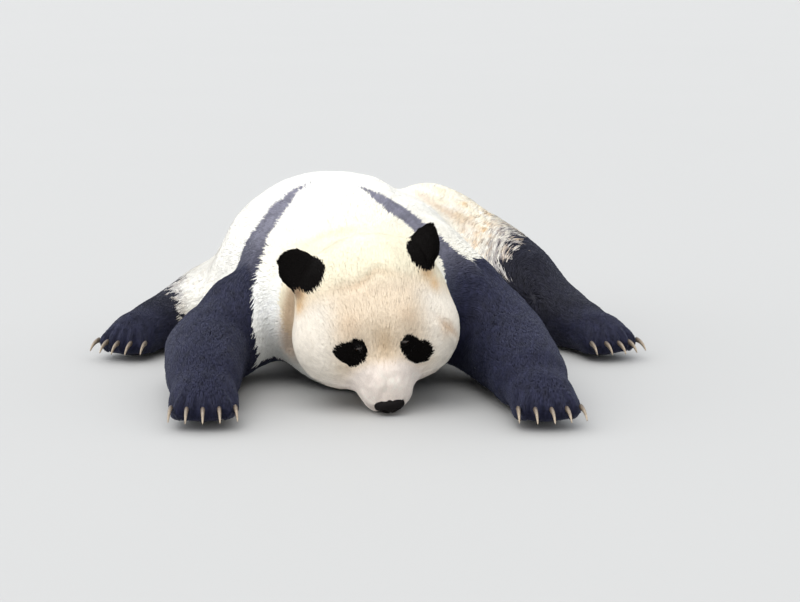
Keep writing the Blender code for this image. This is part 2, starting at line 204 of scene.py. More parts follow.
# Tufts: the lowest and highest share by which each measure varies
VARIED = {"length": (0.72, 1.18), "depth": (0.45, 1.05), "stand": (0.3, 1.4), "width": (0.75, 1.25)}
VEER = 0.10             # how far they turn to a side, each by itself and together
CLUMPING = 0.18         # how far their tips lean to the middle of their clump
RIDGE = (0.42, 0.50)    # how far along the ridge lies, and how high, as a share of the coat's depth
ROOT_DEPTH = 0.0012     # how deep their roots lie under the skin
FLOOR_GAP = 0.0006      # lowest that they lie
OVERLAP = 0.03          # how far the skin that a piece grows on reaches over the edge of its marking
# By whether the fur is dark: how far a tuft's normals turn out to its sides, and the range of its tone
ROUNDING = {True: 0.45, False: 0.28}
TUFT_TONES = {True: (0.86, 1.08), False: (0.93, 1.05)}
# painted shade along each white tuft: darker at its root, deep in the coat, and a little lighter at its tip
TUFT_PAINTED_SHADE = {True: (1.0, 1.0, 1.0, 1.0), False: (0.93, 0.99, 0.99, 1.02)}     # of its four points
TUFT_FACES = np.array([(0, 1, 2), (3, 2, 1), (0, 3, 1), (0, 2, 3)])
TUFT_PATCH = np.array([(0, -1), (-1, 0), (1, 0), (0, 1)]) * 0.0015      # its four points on the map

# Coat pieces: the record's slot, whether the fur is dark, the nodes it grows on, and the half that it takes,
# as an axis, a limit on it and whether it is the part beyond; "along" is the head's, the others the body's
COATS = {
    "coat_face": ("white_fur", False, ("head",), ("along", -0.035, True)),
    "coat_crown_and_neck": ("white_fur", False, ("head", "neck", "forearm_right"), ("along", -0.035, False)),
    "coat_back": ("white_fur", False, ("chest", "belly"), ("behind", 0.71, False)),
    "coat_loins": ("white_fur", False, ("chest", "belly"), ("behind", 0.71, True)),
    "coat_rump": ("white_fur", False, ("rump", "tail"), None),
    "coat_thighs": ("white_fur", False, both("thigh", "shank"), None),
    "coat_ears_and_eyes": ("black_fur", True, ("head", *both("ear")), None),
    "coat_saddle": ("black_fur", True, ("neck", "chest", "belly", *both("upper_arm")), None),
    "coat_forearms": ("black_fur", True, both("forearm"), None),
    "coat_forepaws": ("black_fur", True, both("paw_front"), None),
    "coat_hindlegs": ("black_fur", True, ("rump", *both("thigh", "shank", "foot")), None),
}


# ---------------- small helpers

def unit(vectors):
    """Vectors divided by their lengths."""
    vectors = np.asarray(vectors, float)
    return vectors / np.maximum(np.linalg.norm(vectors, axis=-1, keepdims=True), 1e-12)


def lengths(vectors):
    return np.linalg.norm(vectors, axis=-1)


def eased(values, start, end):
    """Rises smoothly from 0 at start to 1 at end: 3t^2 - 2t^3 of the clipped share t."""
    t = np.clip((np.asarray(values, float) - start) / (end - start), 0, 1)
    return t * t * (3 - 2 * t)


def mixed(first, second, share):
    """First where the share is 0, second where it is 1."""
    return first + (second - first) * share


def bell(values, width):
    """A smooth bump that is 1 at 0 and falls away with the square of the distance."""
    return np.exp(-(np.asarray(values, float) / width) ** 2)


def ripple(points, size, seed):
    """A smooth random field from about -1 to 1: the sum of sine waves that run in random directions."""
    rng = np.random.default_rng(seed)
    waves = 10
    runs = unit(rng.normal(size=(waves, 3))) * rng.uniform(0.7, 1.5, (waves, 1)) * 2 * math.pi / size
    phases = rng.uniform(0, 2 * math.pi, waves)
    return np.sin(points @ runs.T + phases).sum(axis=1) / math.sqrt(2 * waves)


def box_centre(node):
    low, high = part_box(node)
    return np.array((low + high) / 2)


def claws_of(paw):
    return [f"claw_{paw}_{number + 1}" for number in range(CLAWS)]


# ---------------- axes of the head and the body

def head_axes():
    """Rows are the head's side, dorsal and along directions, worked out from the eyes and the nose."""
    right, left = box_centre("eye_right"), box_centre("eye_left")
    side = unit(left - right)
    fall = box_centre("nose") - (left + right) / 2
    fall_in_head = NOSE_PLACE - EYE_PLACE * (0, 1, 1)
    across = np.cross(side, fall)
    size = fall_in_head @ fall_in_head
    dorsal = (fall_in_head[1] * fall - fall_in_head[2] * across) / size
    along = (fall_in_head[2] * fall + fall_in_head[1] * across) / size
    return np.array((side, unit(dorsal), unit(along)))


HEAD_AXES = head_axes()
HEAD_CENTRE = box_centre("nose") - NOSE_PLACE @ HEAD_AXES
UNDER_NOSE = box_centre("nose") * (1, 1, 0)


def to_head(points):
    """Side, dorsal and along of points on the animal."""
    return (points - HEAD_CENTRE) @ HEAD_AXES.T


def from_head(places):
    return HEAD_CENTRE + np.asarray(places, float) @ HEAD_AXES


def mirrored(place, side):
    """A head place on the named side of the head."""
    return np.asarray(place) * (1 if side == "left" else -1, 1, 1)


# ---------------- meshes and objects

def new_object(name, mesh, materials):
    made = bpy.data.objects.new(name, mesh)
    bpy.context.scene.collection.objects.link(made)
    for finish in materials:
        mesh.materials.append(finish)
    return made


def mesh_of(name, points, faces):
    """A mesh from an array of points and an array of faces with the same number of corners each."""
    mesh = bpy.data.meshes.new(name)
    count, corners = faces.shape
    mesh.vertices.add(len(points))
    mesh.vertices.foreach_set("co", np.ascontiguousarray(points, np.float32).ravel())
    mesh.loops.add(count * corners)
    mesh.loops.foreach_set("vertex_index", np.ascontiguousarray(faces, np.int32).ravel())
    mesh.polygons.add(count)
    mesh.polygons.foreach_set("loop_start", np.arange(0, count * corners, corners, dtype=np.int32))
    mesh.update(calc_edges=True)
    mesh.validate()
    mesh.shade_smooth()
    return mesh


def read(items, field, columns=3, kind=np.float32):
    """One field of a mesh's items, as rows of numbers."""
    values = np.empty(len(items) * columns, kind)
    items.foreach_get(field, values)
    return values.reshape(-1, columns)


def points_of(mesh):
    return read(mesh.vertices, "co").astype(float)


def normals_of(mesh):
    return read(mesh.vertex_normals, "vector").astype(float)


def edges_of(mesh):
    return read(mesh.edges, "vertices", 2, np.int32)


def move_points(mesh, points):
    mesh.vertices.foreach_set("co", points.astype(np.float32).ravel())
    mesh.update()


def store(mesh, name, kind, values):
    """An attribute with one number, vector or colour for each point."""
    made = mesh.attributes.new(name, kind, "POINT")
    field = {"FLOAT": "value", "FLOAT_VECTOR": "vector", "FLOAT_COLOR": "color"}[kind]
    made.data.foreach_set(field, np.ascontiguousarray(values, np.float32).ravel())


def stored(mesh, name, columns=1):
    field = "value" if columns == 1 else "vector"
    return read(mesh.attributes[name].data, field, columns).astype(float)


def evaluated(thing):
    """The mesh that an object's modifiers make; the object itself goes."""
    bpy.context.view_layer.update()
    graph = bpy.context.evaluated_depsgraph_get()
    mesh = bpy.data.meshes.new_from_object(thing.evaluated_get(graph), depsgraph=graph)
    bpy.data.objects.remove(thing, do_unlink=True)
    return mesh


def spread(values, edges, strength, passes):
    """Moves each point's value part of the way to the mean of its neighbours', again and again."""
    near, far = edges.T
    count = len(values)
    degree = np.maximum(np.bincount(near, minlength=count) + np.bincount(far, minlength=count), 1)
    values = values.copy()
    share = np.broadcast_to(strength, count)
    for _ in range(passes):
        for column in range(values.shape[1]):
            one = values[:, column]
            total = np.bincount(near, one[far], count) + np.bincount(far, one[near], count)
            values[:, column] = one + share * (total / degree - one)
    return values


# ---------------- markings and colours of the coat

WHITE = {
    "trunk": (0.88, 0.865, 0.81),
    "crown": (0.84, 0.78, 0.60),
    "face": (0.82, 0.69, 0.53),
    "muzzle": (0.94, 0.84, 0.76),
    # partly the bridge's own tan, partly painted shade on the bridge, which faces away from the light
    "bridge_tan_and_shade": (0.66, 0.49, 0.31),
    "rump": (0.85, 0.77, 0.58),
    "grey": (0.27, 0.25, 0.26),
    "ruff": (0.95, 0.945, 0.90),
    # orange and brown: real stains on the hips, and painted shade below the ears and in the fold by the ruff
    "orange_stain_and_shade": (0.66, 0.42, 0.20),
    "brown_stain_and_shade": (0.24, 0.15, 0.09),
    # painted shade: the crease colour is a warm brown that stands for the shade in creases and folds
    "crease": (0.58, 0.40, 0.25),
}
DARK = {
    "limb": (0.0145, 0.0157, 0.0385),
    "hind": (0.0075, 0.0075, 0.0165),
    # painted sheen: paler slate where the light falls on the top of the shoulders
    "withers_sheen": (0.185, 0.180, 0.225),
    "face": (0.0025, 0.0018, 0.0016),
}


def part_of(owners, *nodes):
    """Which points belong to one of the named nodes."""
    return np.isin(owners, [FLESH.index(node) for node in nodes])


def edge_at(table, places):
    """The second column of a table of pairs, read off between its rows at places in the first."""
    return np.interp(places, *np.array(table).T)


def saddle_edges(angle):
    """Start and end of the dark saddle, behind the nose, at each angle round the trunk."""
    angles, starts, ends = np.array(SADDLE).T
    return np.interp(angle, angles, starts), np.interp(angle, angles, ends)


def patch_reach(head):
    """Distance from the middle of the nearer eye patch, as a share of its radius there."""
    right = head[:, 0] < 0
    middle, lower, long_half, short_half, slope, lobe_side, lobe_along, radius = (
        np.where(right, first, second) for first, second in zip(PATCHES["right"], PATCHES["left"]))
    across = np.abs(head[:, 0]) - middle
    down = head[:, 2] - lower
    long_way = across * np.cos(slope) + down * np.sin(slope)
    short_way = down * np.cos(slope) - across * np.sin(slope)
    oval = np.hypot(long_way / long_half, short_way / short_half)
    lobe = np.hypot(np.abs(head[:, 0]) - lobe_side, head[:, 2] - lobe_along) / radius
    return -np.log(np.exp(-7 * oval) + np.exp(-7 * lobe)) / 7


def ear_root(side):
    """Head place of the middle of an ear's black root, and how far the black reaches from it."""
    offset, reach = EAR_ROOTS[side]
    return to_head(box_centre("ear_" + side)) + offset, reach


def line_distance(points, line):
    """Distance of each point from a line with corners."""
    line = np.array(line)
    nearest = np.full(len(points), FAR)
    for start, end in zip(line[:-1], line[1:]):
        run = end - start
        share = np.clip((points - start) @ run / (run @ run), 0, 1)
        nearest = np.minimum(nearest, lengths(points - start - share[:, None] * run))
    return nearest


def darkness(points, owners):
    """How far inside the dark markings each point lies, in metres; minus outside them. Owners index FLESH."""
    side, behind, height = (points - UNDER_NOSE).T
    head = to_head(points)
    on_head = part_of(owners, "head")

    start, end = saddle_edges(np.degrees(np.arctan2(side - TRUNK_AXIS[0], height - TRUNK_AXIS[1])))
    trunk = part_of(owners, *TRUNK)
    found = np.where(trunk, np.minimum(behind - start, end - behind), -CLEAR)

    outward_left = side - edge_at(THIGH_EDGE, behind)
    outward_right = -side - edge_at(KNEE_EDGE, behind) + 0.3 * np.clip(0.10 - height, 0, 0.1)
    hind = part_of(owners, "belly", "rump", "thigh_left", "thigh_right", "shank_right")
    legs = np.where(behind > HIND_START, np.maximum(outward_left, outward_right), -CLEAR)
    found = np.where(hind, np.maximum(found, legs), found)

    patch = np.where((head[:, 1] > 0) & (head[:, 2] > 0.02), (1 - patch_reach(head)) * 0.02, -CLEAR)
    found = np.where(on_head, patch, found)
    for ear in SIDES:
        root, reach = ear_root(ear)
        middle = to_head(box_centre("ear_" + ear))
        near = reach - line_distance(head, (middle + 0.35 * (root - middle), root))
        found = np.where(on_head, np.maximum(found, near), found)

    found = np.where(part_of(owners, *ALL_DARK), CLEAR, found)
    ruff = edge_at(RUFF_EDGE, height) - side
    found = np.where(part_of(owners, "forearm_right") & (behind < 0.36) & (height < 0.25), ruff, found)
    ragged = 0.0035 * ripple(points, 0.016, 11) + 0.0025 * ripple(points, 0.007, 12)
    shaggy = 0.012 * ripple(points, 0.040, 13) + np.where(side > 0, 4, 1.5) * ragged
    ragged = np.where(hind & (behind > HIND_START), shaggy, ragged)
    return found + np.where(on_head, 0.3 * ragged, ragged)


def head_layers(head, owners, height, behind):
    """Colours over the trunk's white, in order, with the share of each at every point: the cream of the
    crown, the white ruff, the face's tones, the bridge's tan partly painted shade, and painted shade in the
    folds, over the brows and below the ears."""
    side, dorsal, along = head.T
    away = np.abs(side)
    on_head = part_of(owners, "head").astype(float)
    by_ruff = part_of(owners, "head", "neck")
    cheeks = eased(away, 0.060, 0.110) * eased(along, -0.04, 0.0)
    bridge_tan_and_shade = bell(np.hypot(side - 0.004, (along - 0.078) * 0.75), 0.019) * (dorsal > 0)
    before, depth = forehead_crease(head)
    forehead = bell(before, 0.008) * depth * (dorsal > 0.05)
    across, lengthwise = cheek_crease(head)
    cheek = bell(across, 0.008) * bell(lengthwise, 0.024) * (dorsal > -0.02)
    brows = bell(np.hypot(away - 0.056, along - 0.040), 0.022) * (dorsal > 0)
    tucked = line_distance(head, RUFF_FOLD)
    return [
        ("crown", 0.7 * bell(behind - 0.22, 0.16)),
        ("ruff", part_of(owners, "neck", "forearm_right") * (1 - eased(height, 0.19, 0.29))),
        ("crown", on_head),
        ("face", on_head * eased(along, -0.070, -0.010)),
        ("muzzle", on_head * eased(along, 0.095, 0.120)),
        ("trunk", 0.55 * on_head * cheeks),
        # the bridge's tan, partly painted shade on the bridge, which faces away from the light
        ("bridge_tan_and_shade", 0.75 * on_head * bridge_tan_and_shade),
        # painted shade in the crease over the forehead, along the back of the crown, in the fold beside the
        # left eye and over the brows
        ("crease", 0.45 * on_head * forehead),
        ("crease", 0.22 * bell(line_distance(head, CROWN_SHADE_LINE), 0.018)),
        ("crease", 0.65 * on_head * cheek),
        ("crease", 0.35 * on_head * brows),
        # painted shade in warm browns below the ears and beside the left eye
        *((name, share * on_head * bell(lengths(head - place), size))
          for name, share, place, size in PAINTED_HEAD_SHADE),
        # painted shade in the fold between the cheek and the ruff
        ("crease", 0.95 * by_ruff * bell(tucked, 0.028)),
        ("brown_stain_and_shade", 0.55 * by_ruff * bell(tucked, 0.014)),
    ]


def body_layers(points, owners):
    """As head_layers, over the body: the warm rump, the stained hips, painted shade in the fold before the
    left haunch, the grey fringe of the dark legs and a warmer cream low on the body behind the forelegs."""
    side, behind, height = (points - UNDER_NOSE).T
    off_head = 1 - part_of(owners, "head").astype(float)
    warm = eased(behind, 0.74, 0.98) * eased(side, -0.06, 0.12)
    hip = eased(side, 0.13, 0.20) * eased(behind, 0.72, 0.82) * (1 - eased(behind, 0.96, 1.08))
    right_hip = eased(-side, 0.26, 0.36) * eased(behind, 0.60, 0.72) * (1 - eased(behind, 1.06, 1.20))
    fold = bell(line_distance(points - UNDER_NOSE - (0.008, 0.030, 0.0), FLANK_FOLDS[0][0]), 0.022)
    dirt = np.clip(ripple(points * (1, 1.6, 1), 0.019, 27) * 1.6 - 0.5, 0, 1)
    width = np.where(side > 0, 0.080, 0.040)
    fringe = eased(darkness(points, owners), -width, -0.25 * width) * eased(behind, 0.58, 0.66) * off_head
    fringe = fringe * eased(np.abs(side + 0.06), 0.16, 0.23)
    under = (1 - eased(height, 0.02, 0.13)) * eased(behind, 0.35, 0.5)
    return [
        ("rump", warm * (0.60 + 0.35 * ripple(points, 0.05, 21))),
        ("orange_stain_and_shade", hip * (0.05 + 0.60 * ripple(points, 0.030, 22))),
        # painted shade along the fold between the trunk and the left haunch
        ("crease", 0.6 * fold * (side > 0.06) * off_head),
        ("brown_stain_and_shade", 0.75 * hip * dirt),
        ("grey", fringe * (0.50 + 0.60 * ripple(points, 0.008, 26))),
        ("orange_stain_and_shade", right_hip * 0.12 * ripple(points, 0.030, 28)),
        ("rump", 0.55 * under * (0.8 + 0.4 * ripple(points, 0.04, 29))),
    ]


def pelt_colours(points, owners, dark):
    """Colour of the fur at each point: cream with warmer face and rump, and painted shade in folds and below
    the ears, or slate black with painted sheen over the withers.
    """
    side, behind, height = (points - UNDER_NOSE).T
    looks = bpy.context.scene.panda_looks
    tones = WHITE | {"trunk": tuple(looks.trunk_white)}
    light = np.tile(tones["trunk"], (len(points), 1))
    for name, share in head_layers(to_head(points), owners, height, behind) + body_layers(points, owners):
        light = mixed(light, np.array(tones[name]), np.clip(share, 0, 1)[:, None])
    patina = 1 + 0.03 * ripple(points, 0.06, 23) + 0.03 * ripple(points, 0.012, 24)
    light = light * patina[:, None]

    face = part_of(owners, "head", *EARS)[:, None]
    # painted sheen: the black over the trunk turns paler toward its top, where the light falls
    high = eased(height, 0.21, 0.33)[:, None] * part_of(owners, *TRUNK)[:, None]
    hind = eased(behind, HIND_START, 0.70)[:, None]
    limb = mixed(np.array(looks.limb_black), np.array(DARK["hind"]), hind)
    limb = mixed(limb, np.array(DARK["withers_sheen"]), high)
    black = np.where(face, DARK["face"], limb * (1 + 0.25 * ripple(points, 0.02, 25))[:, None])
    return np.clip(np.where(dark[:, None], black, light), 0.001, 0.95)


# ---------------- the skin

def fused_flesh():
    """One closed surface round all the flesh, with the parting gaps closed."""
    bm = bmesh.new()
    for name in FLESH + FILLED:
        part = bmesh.new()
        part.from_mesh(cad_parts[name].data)
        bmesh.ops.remove_doubles(part, verts=part.verts, dist=1e-5)
        copy = bpy.data.meshes.new(name)
        part.to_mesh(copy)
        part.free()
        copy.update()
        move_points(copy, points_of(copy) + GROWTH * normals_of(copy))
        bm.from_mesh(copy)
        bpy.data.meshes.remove(copy)
    mesh = bpy.data.meshes.new("flesh")
    bm.to_mesh(mesh)
    bm.free()
    whole = new_object("flesh", mesh, [])
    fuse = whole.modifiers.new("fuse", "REMESH")
    fuse.mode = "VOXEL"
    fuse.voxel_size = GRAIN
    return evaluated(whole)


def flesh_tree():
    """A search tree over the solids, and the number in FLESH of the node that each triangle belongs to."""
    corners, owners = [], []
    for number, name in enumerate(FLESH):
        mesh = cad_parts[name].data
        index = triangles_of(mesh)
        corners.append(points_of(mesh)[index.ravel()])
        owners.append(np.full(len(index), number))
    corners = np.concatenate(corners)
    faces = np.arange(len(corners)).reshape(-1, 3)
    return BVHTree.FromPolygons(corners.tolist(), faces.tolist()), np.concatenate(owners)


def owners_of(points, tree, owners):
    """Number in FLESH of the solid nearest to each point."""
    nearest = np.fromiter((tree.find_nearest(point)[2] for point in points.tolist()), int, len(points))
    return owners[nearest]


def divided(mesh, chosen):
    """The mesh with the faces round the chosen points divided in four."""
    bm = bmesh.new()
    bm.from_mesh(mesh)
    flags = chosen.tolist()
    edges = [edge for edge in bm.edges if flags[edge.verts[0].index] and flags[edge.verts[1].index]]
    bmesh.ops.subdivide_edges(bm, edges=edges, cuts=1, use_grid_fill=True)
    bm.to_mesh(mesh)
    bm.free()
    mesh.update()
    return mesh


def forehead_crease(head):
    """How far in front of the crease over the forehead a head place lies, and how deep the crease is there,
    from 0 to 1."""
    return head[:, 2] - edge_at(BROW_CREASE, head[:, 0]), bell(head[:, 0] + 0.012, 0.065)


def cheek_crease(head):
    """Places across and along the fold beside the left eye."""
    across = (head[:, 0] - 0.128) * 0.54 - (head[:, 2] - 0.049) * 0.84
    lengthwise = (head[:, 0] - 0.135) * 0.84 + (head[:, 2] - 0.049) * 0.54
    return across, lengthwise


def head_relief(head):
    """How far the skin of the head stands out or sinks, in metres, at each place on it.

    Grooves and swellings are bells across a line or round a spot: brows, the hollow between the eyes, the
    crease over the forehead, the fold beside the left eye, the mouth, and the cleft under the nose.
    """
    side, dorsal, along = head.T
    away = np.abs(side)
    front = eased(dorsal, 0.02, 0.06)
    relief = 0.0040 * bell(np.hypot(away - 0.052, along - 0.044), 0.022) * front
    relief -= 0.0036 * bell(np.hypot(side, (along - 0.088) * 0.7), 0.016) * front
    before, depth = forehead_crease(head)
    for amount, place, width in ((-0.0027, 0.0, 0.0110), (0.0022, 0.018, 0.014), (0.0014, -0.020, 0.014)):
        relief += amount * bell(before - place, width) * depth * front

    across, lengthwise = cheek_crease(head)
    relief -= 0.0050 * bell(across, 0.005) * bell(lengthwise, 0.022) * (dorsal > -0.01)
    relief += 0.0035 * bell(across + 0.013, 0.009) * bell(lengthwise, 0.026) * (dorsal > -0.01)

    top = eased(dorsal, -0.01, 0.01)
    relief += 0.0035 * bell(np.hypot(away - 0.021, along - 0.150), 0.014) * top
    relief -= 0.0025 * bell(side, 0.0045) * eased(along, 0.125, 0.145) * top
    relief -= 0.0020 * bell(np.hypot(away - 0.010, along - 0.104), 0.010) * top
    relief += 0.0010 * ripple(head, 0.022, 61) * eased(along, 0.02, 0.10)
    relief -= ruff_groove(head)
    for ear in SIDES:
        root, reach = ear_root(ear)
        relief += 0.0080 * bell(lengths(head - root), 0.75 * reach)

    mouth = mouth_line(head)
    lips = eased(along, 0.062, 0.085)
    relief -= 0.0042 * bell(mouth, 0.0030) * lips
    relief += 0.0018 * bell(mouth - 0.009, 0.006) * lips
    cleft = eased(along, 0.15, 0.165) * eased(-dorsal, 0.016, 0.022) * (1 - eased(-dorsal, 0.040, 0.046))
    relief -= 0.0026 * bell(side, 0.0022) * cleft
    return relief


def ruff_groove(head):
    """Depth of the fold between the cheek and the ruff."""
    return 0.0090 * bell(line_distance(head, RUFF_FOLD), 0.013)


def settled(points):
    """The trunk and hind legs let down a little, as loose flesh lies: heights shrink by a share that grows
    toward the rump, over the waist and outward over the hind legs."""
    side, behind, _ = (points - UNDER_NOSE).T
    share = 0.028 * eased(behind, 0.62, 0.80) + 0.016 * eased(behind, 0.86, 0.96)
    for amount, across, width, back, length in SAGS:
        share += amount * bell(side - across, width) * bell(behind - back, length)
    share += (0.100 * eased(-side, 0.34, 0.42) + 0.090 * eased(side, 0.35, 0.42)) * eased(behind, 0.56, 0.68)
    lowered = points.copy()
    lowered[:, 2] *= 1 - share
    return lowered


def ear_tip(points, on_ear):
    """Draws the top of the left ear out to a soft point."""
    low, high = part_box("ear_left")
    top = np.array((high[0] * 0.72 + low[0] * 0.28, (low[1] + high[1]) / 2, high[2] + 0.004))
    pull = bell(lengths(points - top), 0.022) * on_ear
    return pull[:, None] * (0.0030, 0.0, 0.0085)


def toe_relief(points):
    """The toes stand out as round ridges that run back from their claws, with dents between them: a narrow
    bell less a wide one, of the distance from a line over each toe, in which heights count for less."""
    relief = np.zeros(len(points))
    flatter = np.array((1, 1, 0.3))
    for paw in PAWS:
        middle = box_centre(paw)
        nearest = np.full(len(points), FAR)
        for node in claws_of(paw):
            claw = box_centre(node)
            claw[2] = float(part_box(node)[1][2]) - 0.008
            back = unit((middle - claw) * (1, 1, 0))
            ridge = (claw - 0.006 * back, claw + 0.050 * back + (0, 0, 0.010))
            nearest = np.minimum(nearest, line_distance(points * flatter, np.array(ridge) * flatter))
        close = lengths((points - middle) * (1, 1, 0)) < 0.14
        relief += np.where(close, 0.0135 * bell(nearest, 0.0085) - 0.0065 * bell(nearest, 0.022), 0)
    return relief


def body_relief(points):
    """How far the skin of the body sinks over the arms and into the folds in front of the thighs."""
    body = points - UNDER_NOSE
    relief = 0.0015 * ripple(points, 0.09, 71) + toe_relief(points)
    for line, depth, width in FLANK_FOLDS + ARM_HOLLOWS:
        relief -= depth * bell(line_distance(body, line), width)
    return relief


def mouth_line(head):
    """How far above the line between the lips a head place lies; the line rises toward its corners."""
    side, dorsal, along = head.T
    return dorsal + 0.043 - 0.30 * (0.16 - along) * eased(along, 0.06, 0.12) + 0.05 * np.abs(side)


def eye_frame(side):
    """Middle of an eyeball and, as rows, the ways along its slit, up the lid and out of the head."""
    middle = box_centre("eye_" + side)
    outward = mirrored(EYE_FACING, side) @ HEAD_AXES
    slit = mirrored((1.0, -0.20, 0.12), side) @ HEAD_AXES
    slit = unit(slit - outward * (slit @ outward))
    return middle, np.array((slit, np.cross(outward, slit) * (1 if side == "left" else -1), outward))


def lidded(points):
    """Lays the skin over each eyeball as two lids: it follows a sphere a little larger than the eye, and
    inside an almond-shaped slit it drops behind the eye's surface."""
    points = points.copy()
    for side in SIDES:
        middle, axes = eye_frame(side)
        local = (points - middle) @ axes.T
        reach = lengths(local)
        tilt = np.degrees(np.arccos(np.clip(local[:, 2] / np.maximum(reach, 1e-9), -1, 1)))
        near = (1 - eased(tilt, *LID_FADE)) * (reach < SOCKET_REACH)
        lid = EYE_RADIUS + LID_THICKNESS + 0.0009 * bell(local[:, 1] - 0.0058, 0.0022)
        arch = np.maximum(1 - (local[:, 0] / SLIT_LENGTH) ** 2, 0)
        gap = SLIT_HEIGHT * arch - np.abs(local[:, 1] + 0.0012 - 0.0012 * arch)
        rim = 0.0007 * bell(gap + 0.0007, 0.0006) * (arch > 0)
        target = mixed(lid + rim, EYE_RADIUS - 0.0022, eased(gap, -0.0002, 0.0004))
        scale = mixed(reach, target, near) / np.maximum(reach, 1e-9)
        points += ((scale - 1) * near.astype(bool))[:, None] * local @ axes
    return points


def fur_fields(points, owners, edges):
    """The five fields of the fur at each point, smooth from part to part."""
    kinds = [name.removesuffix("_right").removesuffix("_left") for name in FLESH]
    values = spread(np.array([FUR[kind] for kind in kinds])[owners], edges, 1.0, passes=14)
    head = to_head(points)
    on_head = part_of(owners, "head")
    about_eyes = (1 - eased(patch_reach(head), 1.0, 1.6)) * (head[:, 1] > 0) * on_head
    values = mixed(values, np.array(PATCH_FUR), about_eyes[:, None])
    on_muzzle = 1 - eased(lengths(head - (0, 0, 0.155)), 0.045, 0.100)
    return mixed(values, np.array(MUZZLE_FUR), (on_muzzle * on_head)[:, None])


def middle_of(part, side):
    """Middle of a part's node on one side, or of its only node; the middle claw stands for a paw's claws."""
    if part.startswith("claw"):
        return box_centre(f"{part}_{side}_3")
    return box_centre(part if part in FLESH else f"{part}_{side}")


def lie_field(points, normals, owners, edges):
    """The way the fur lies at each point, along the skin: back from the nose over the head, back and down
    over the trunk, and down each limb toward its toes. Smooth from part to part."""
    lie = np.tile((0.0, 1.0, -0.30), (len(points), 1))
    lie[:, 0] = 0.9 * ((points - UNDER_NOSE)[:, 0] - TRUNK_AXIS[0])
    lie = unit(lie)
    on_head = part_of(owners, "head")
    lie[on_head] = unit(points[on_head] - from_head((0, -0.02, 0.150)))
    lie[part_of(owners, "tail")] = unit(unit(box_centre("tail") - box_centre("rump")) - (0, 0, 0.8))
    for side in SIDES:
        lie[part_of(owners, "ear_" + side)] = unit(box_centre("ear_" + side) - from_head((0, 0.02, -0.05)))
        for part, start, end in LIE_RUNS:
            lie[part_of(owners, f"{part}_{side}")] = unit(middle_of(end, side) - middle_of(start, side))
    for _ in range(3):
        lie = spread(lie, edges, 1.0, passes=8)
        lie = unit(lie - normals * (lie * normals).sum(axis=1, keepdims=True))
    return lie


def build_skin():
    """The flesh fused, smoothed, given its folds and lids, and drawn in by the depth of the coat."""
    mesh = fused_flesh()
    tree, tree_owners = flesh_tree()
    owners = owners_of(points_of(mesh), tree, tree_owners)
    on_ears, on_head = part_of(owners, *EARS), part_of(owners, "head")
    soft = np.where(on_ears, 0.0, np.where(on_head, 0.25, 0.6))
    move_points(mesh, spread(points_of(mesh), edges_of(mesh), soft, passes=34))

    claws = [box_centre(node) for paw in PAWS for node in claws_of(paw)]
    to_claw = np.min([lengths(points_of(mesh) - claw) for claw in claws], axis=0)
    divided(mesh, on_ears | on_head | (to_claw < TOE_REACH))
    for step in range(FINE_STEPS):
        head = to_head(points_of(mesh))
        to_eye = lengths(head * np.where(head[:, :1] < 0, (-1, 1, 1), 1) - EYE_PLACE)
        nose_end = (lengths(head - (0, -0.015, 0.150)) < 0.055) & (step == 0)
        divided(mesh, (to_eye < LID_REACH - 0.005 * step) | nose_end)

    owners = owners_of(points_of(mesh), tree, tree_owners)
    on_ears, on_head = part_of(owners, *EARS), part_of(owners, "head")
    edges = edges_of(mesh)
    soft = np.where(on_ears, 0.25, np.where(on_head, 0.5, 0.0))
    move_points(mesh, spread(points_of(mesh), edges, soft, passes=8))

    points = points_of(mesh)
    fields = fur_fields(points, owners, edges)
    head = to_head(points)
    relief = np.where(on_head, head_relief(head), body_relief(points))
    relief = np.where(part_of(owners, "neck"), -ruff_groove(head), relief)
    shaped = points + normals_of(mesh) * (relief - fields[:, 0] * SINKING)[:, None]
    shaped += ear_tip(points, part_of(owners, "ear_left"))
    move_points(mesh, settled(lidded(shaped)))

    points, normals = points_of(mesh), normals_of(mesh)
    colours = pelt_colours(points, owners, darkness(points, owners) > 0)
    colours = np.where(bare_skin(points)[:, None], DARK["face"], colours)
    store(mesh, "pelt", "FLOAT_COLOR", np.concatenate([colours, np.ones((len(points), 1))], 1))
    store(mesh, "lie", "FLOAT_VECTOR", lie_field(points, normals, owners, edges))
    for field, values in zip(FIELDS, fields.T):
        store(mesh, "fur_" + field, "FLOAT", values)
    store(mesh, "part", "FLOAT", owners)
    mesh.shade_smooth()
    return new_object("skin", mesh, [finish_of("skin_under_coat")])


def bare_skin(points):
    """Where no fur grows: the lids' rims, the nose and the lips' edge."""
    head = to_head(points)
    side, _, along = head.T
    bare = lengths((head - NOSE_PLACE + (0, 0.0022, 0.001)) / (NOSE_SIZE * (1, 0.86, 1))) < 1
    bare |= (np.abs(mouth_line(head)) < 0.0026) & (along > 0.075) & (along < 0.3) & (np.abs(side) < 0.08)
    for eye in SIDES:
        middle, axes = eye_frame(eye)
        local = (points - middle) @ axes.T
        bare |= (np.hypot(local[:, 0] / 0.0112, (local[:, 1] + 0.0005) / 0.0040) < 1) & (local[:, 2] > 0)
    return bare


# ---------------- the coat

def triangles_of(mesh):
    mesh.calc_loop_triangles()
    index = np.empty(len(mesh.loop_triangles) * 3, np.int32)
    mesh.loop_triangles.foreach_get("vertices", index)
    return index.reshape(-1, 3)


def winding_order(places):
    """Order that visits places along a curve that fills space, so that neighbours follow each other: the bits
    of the three rounded coordinates are shuffled into one number, and the places sorted by it."""
    cells = ((places - places.min(axis=0)) / 0.004).astype(np.int64)
    key = np.zeros(len(places), np.int64)
    for bit in range(10):
        for axis in range(3):
            key |= ((cells[:, axis] >> bit) & 1) << (3 * bit + axis)
    return np.argsort(key, kind="stable")


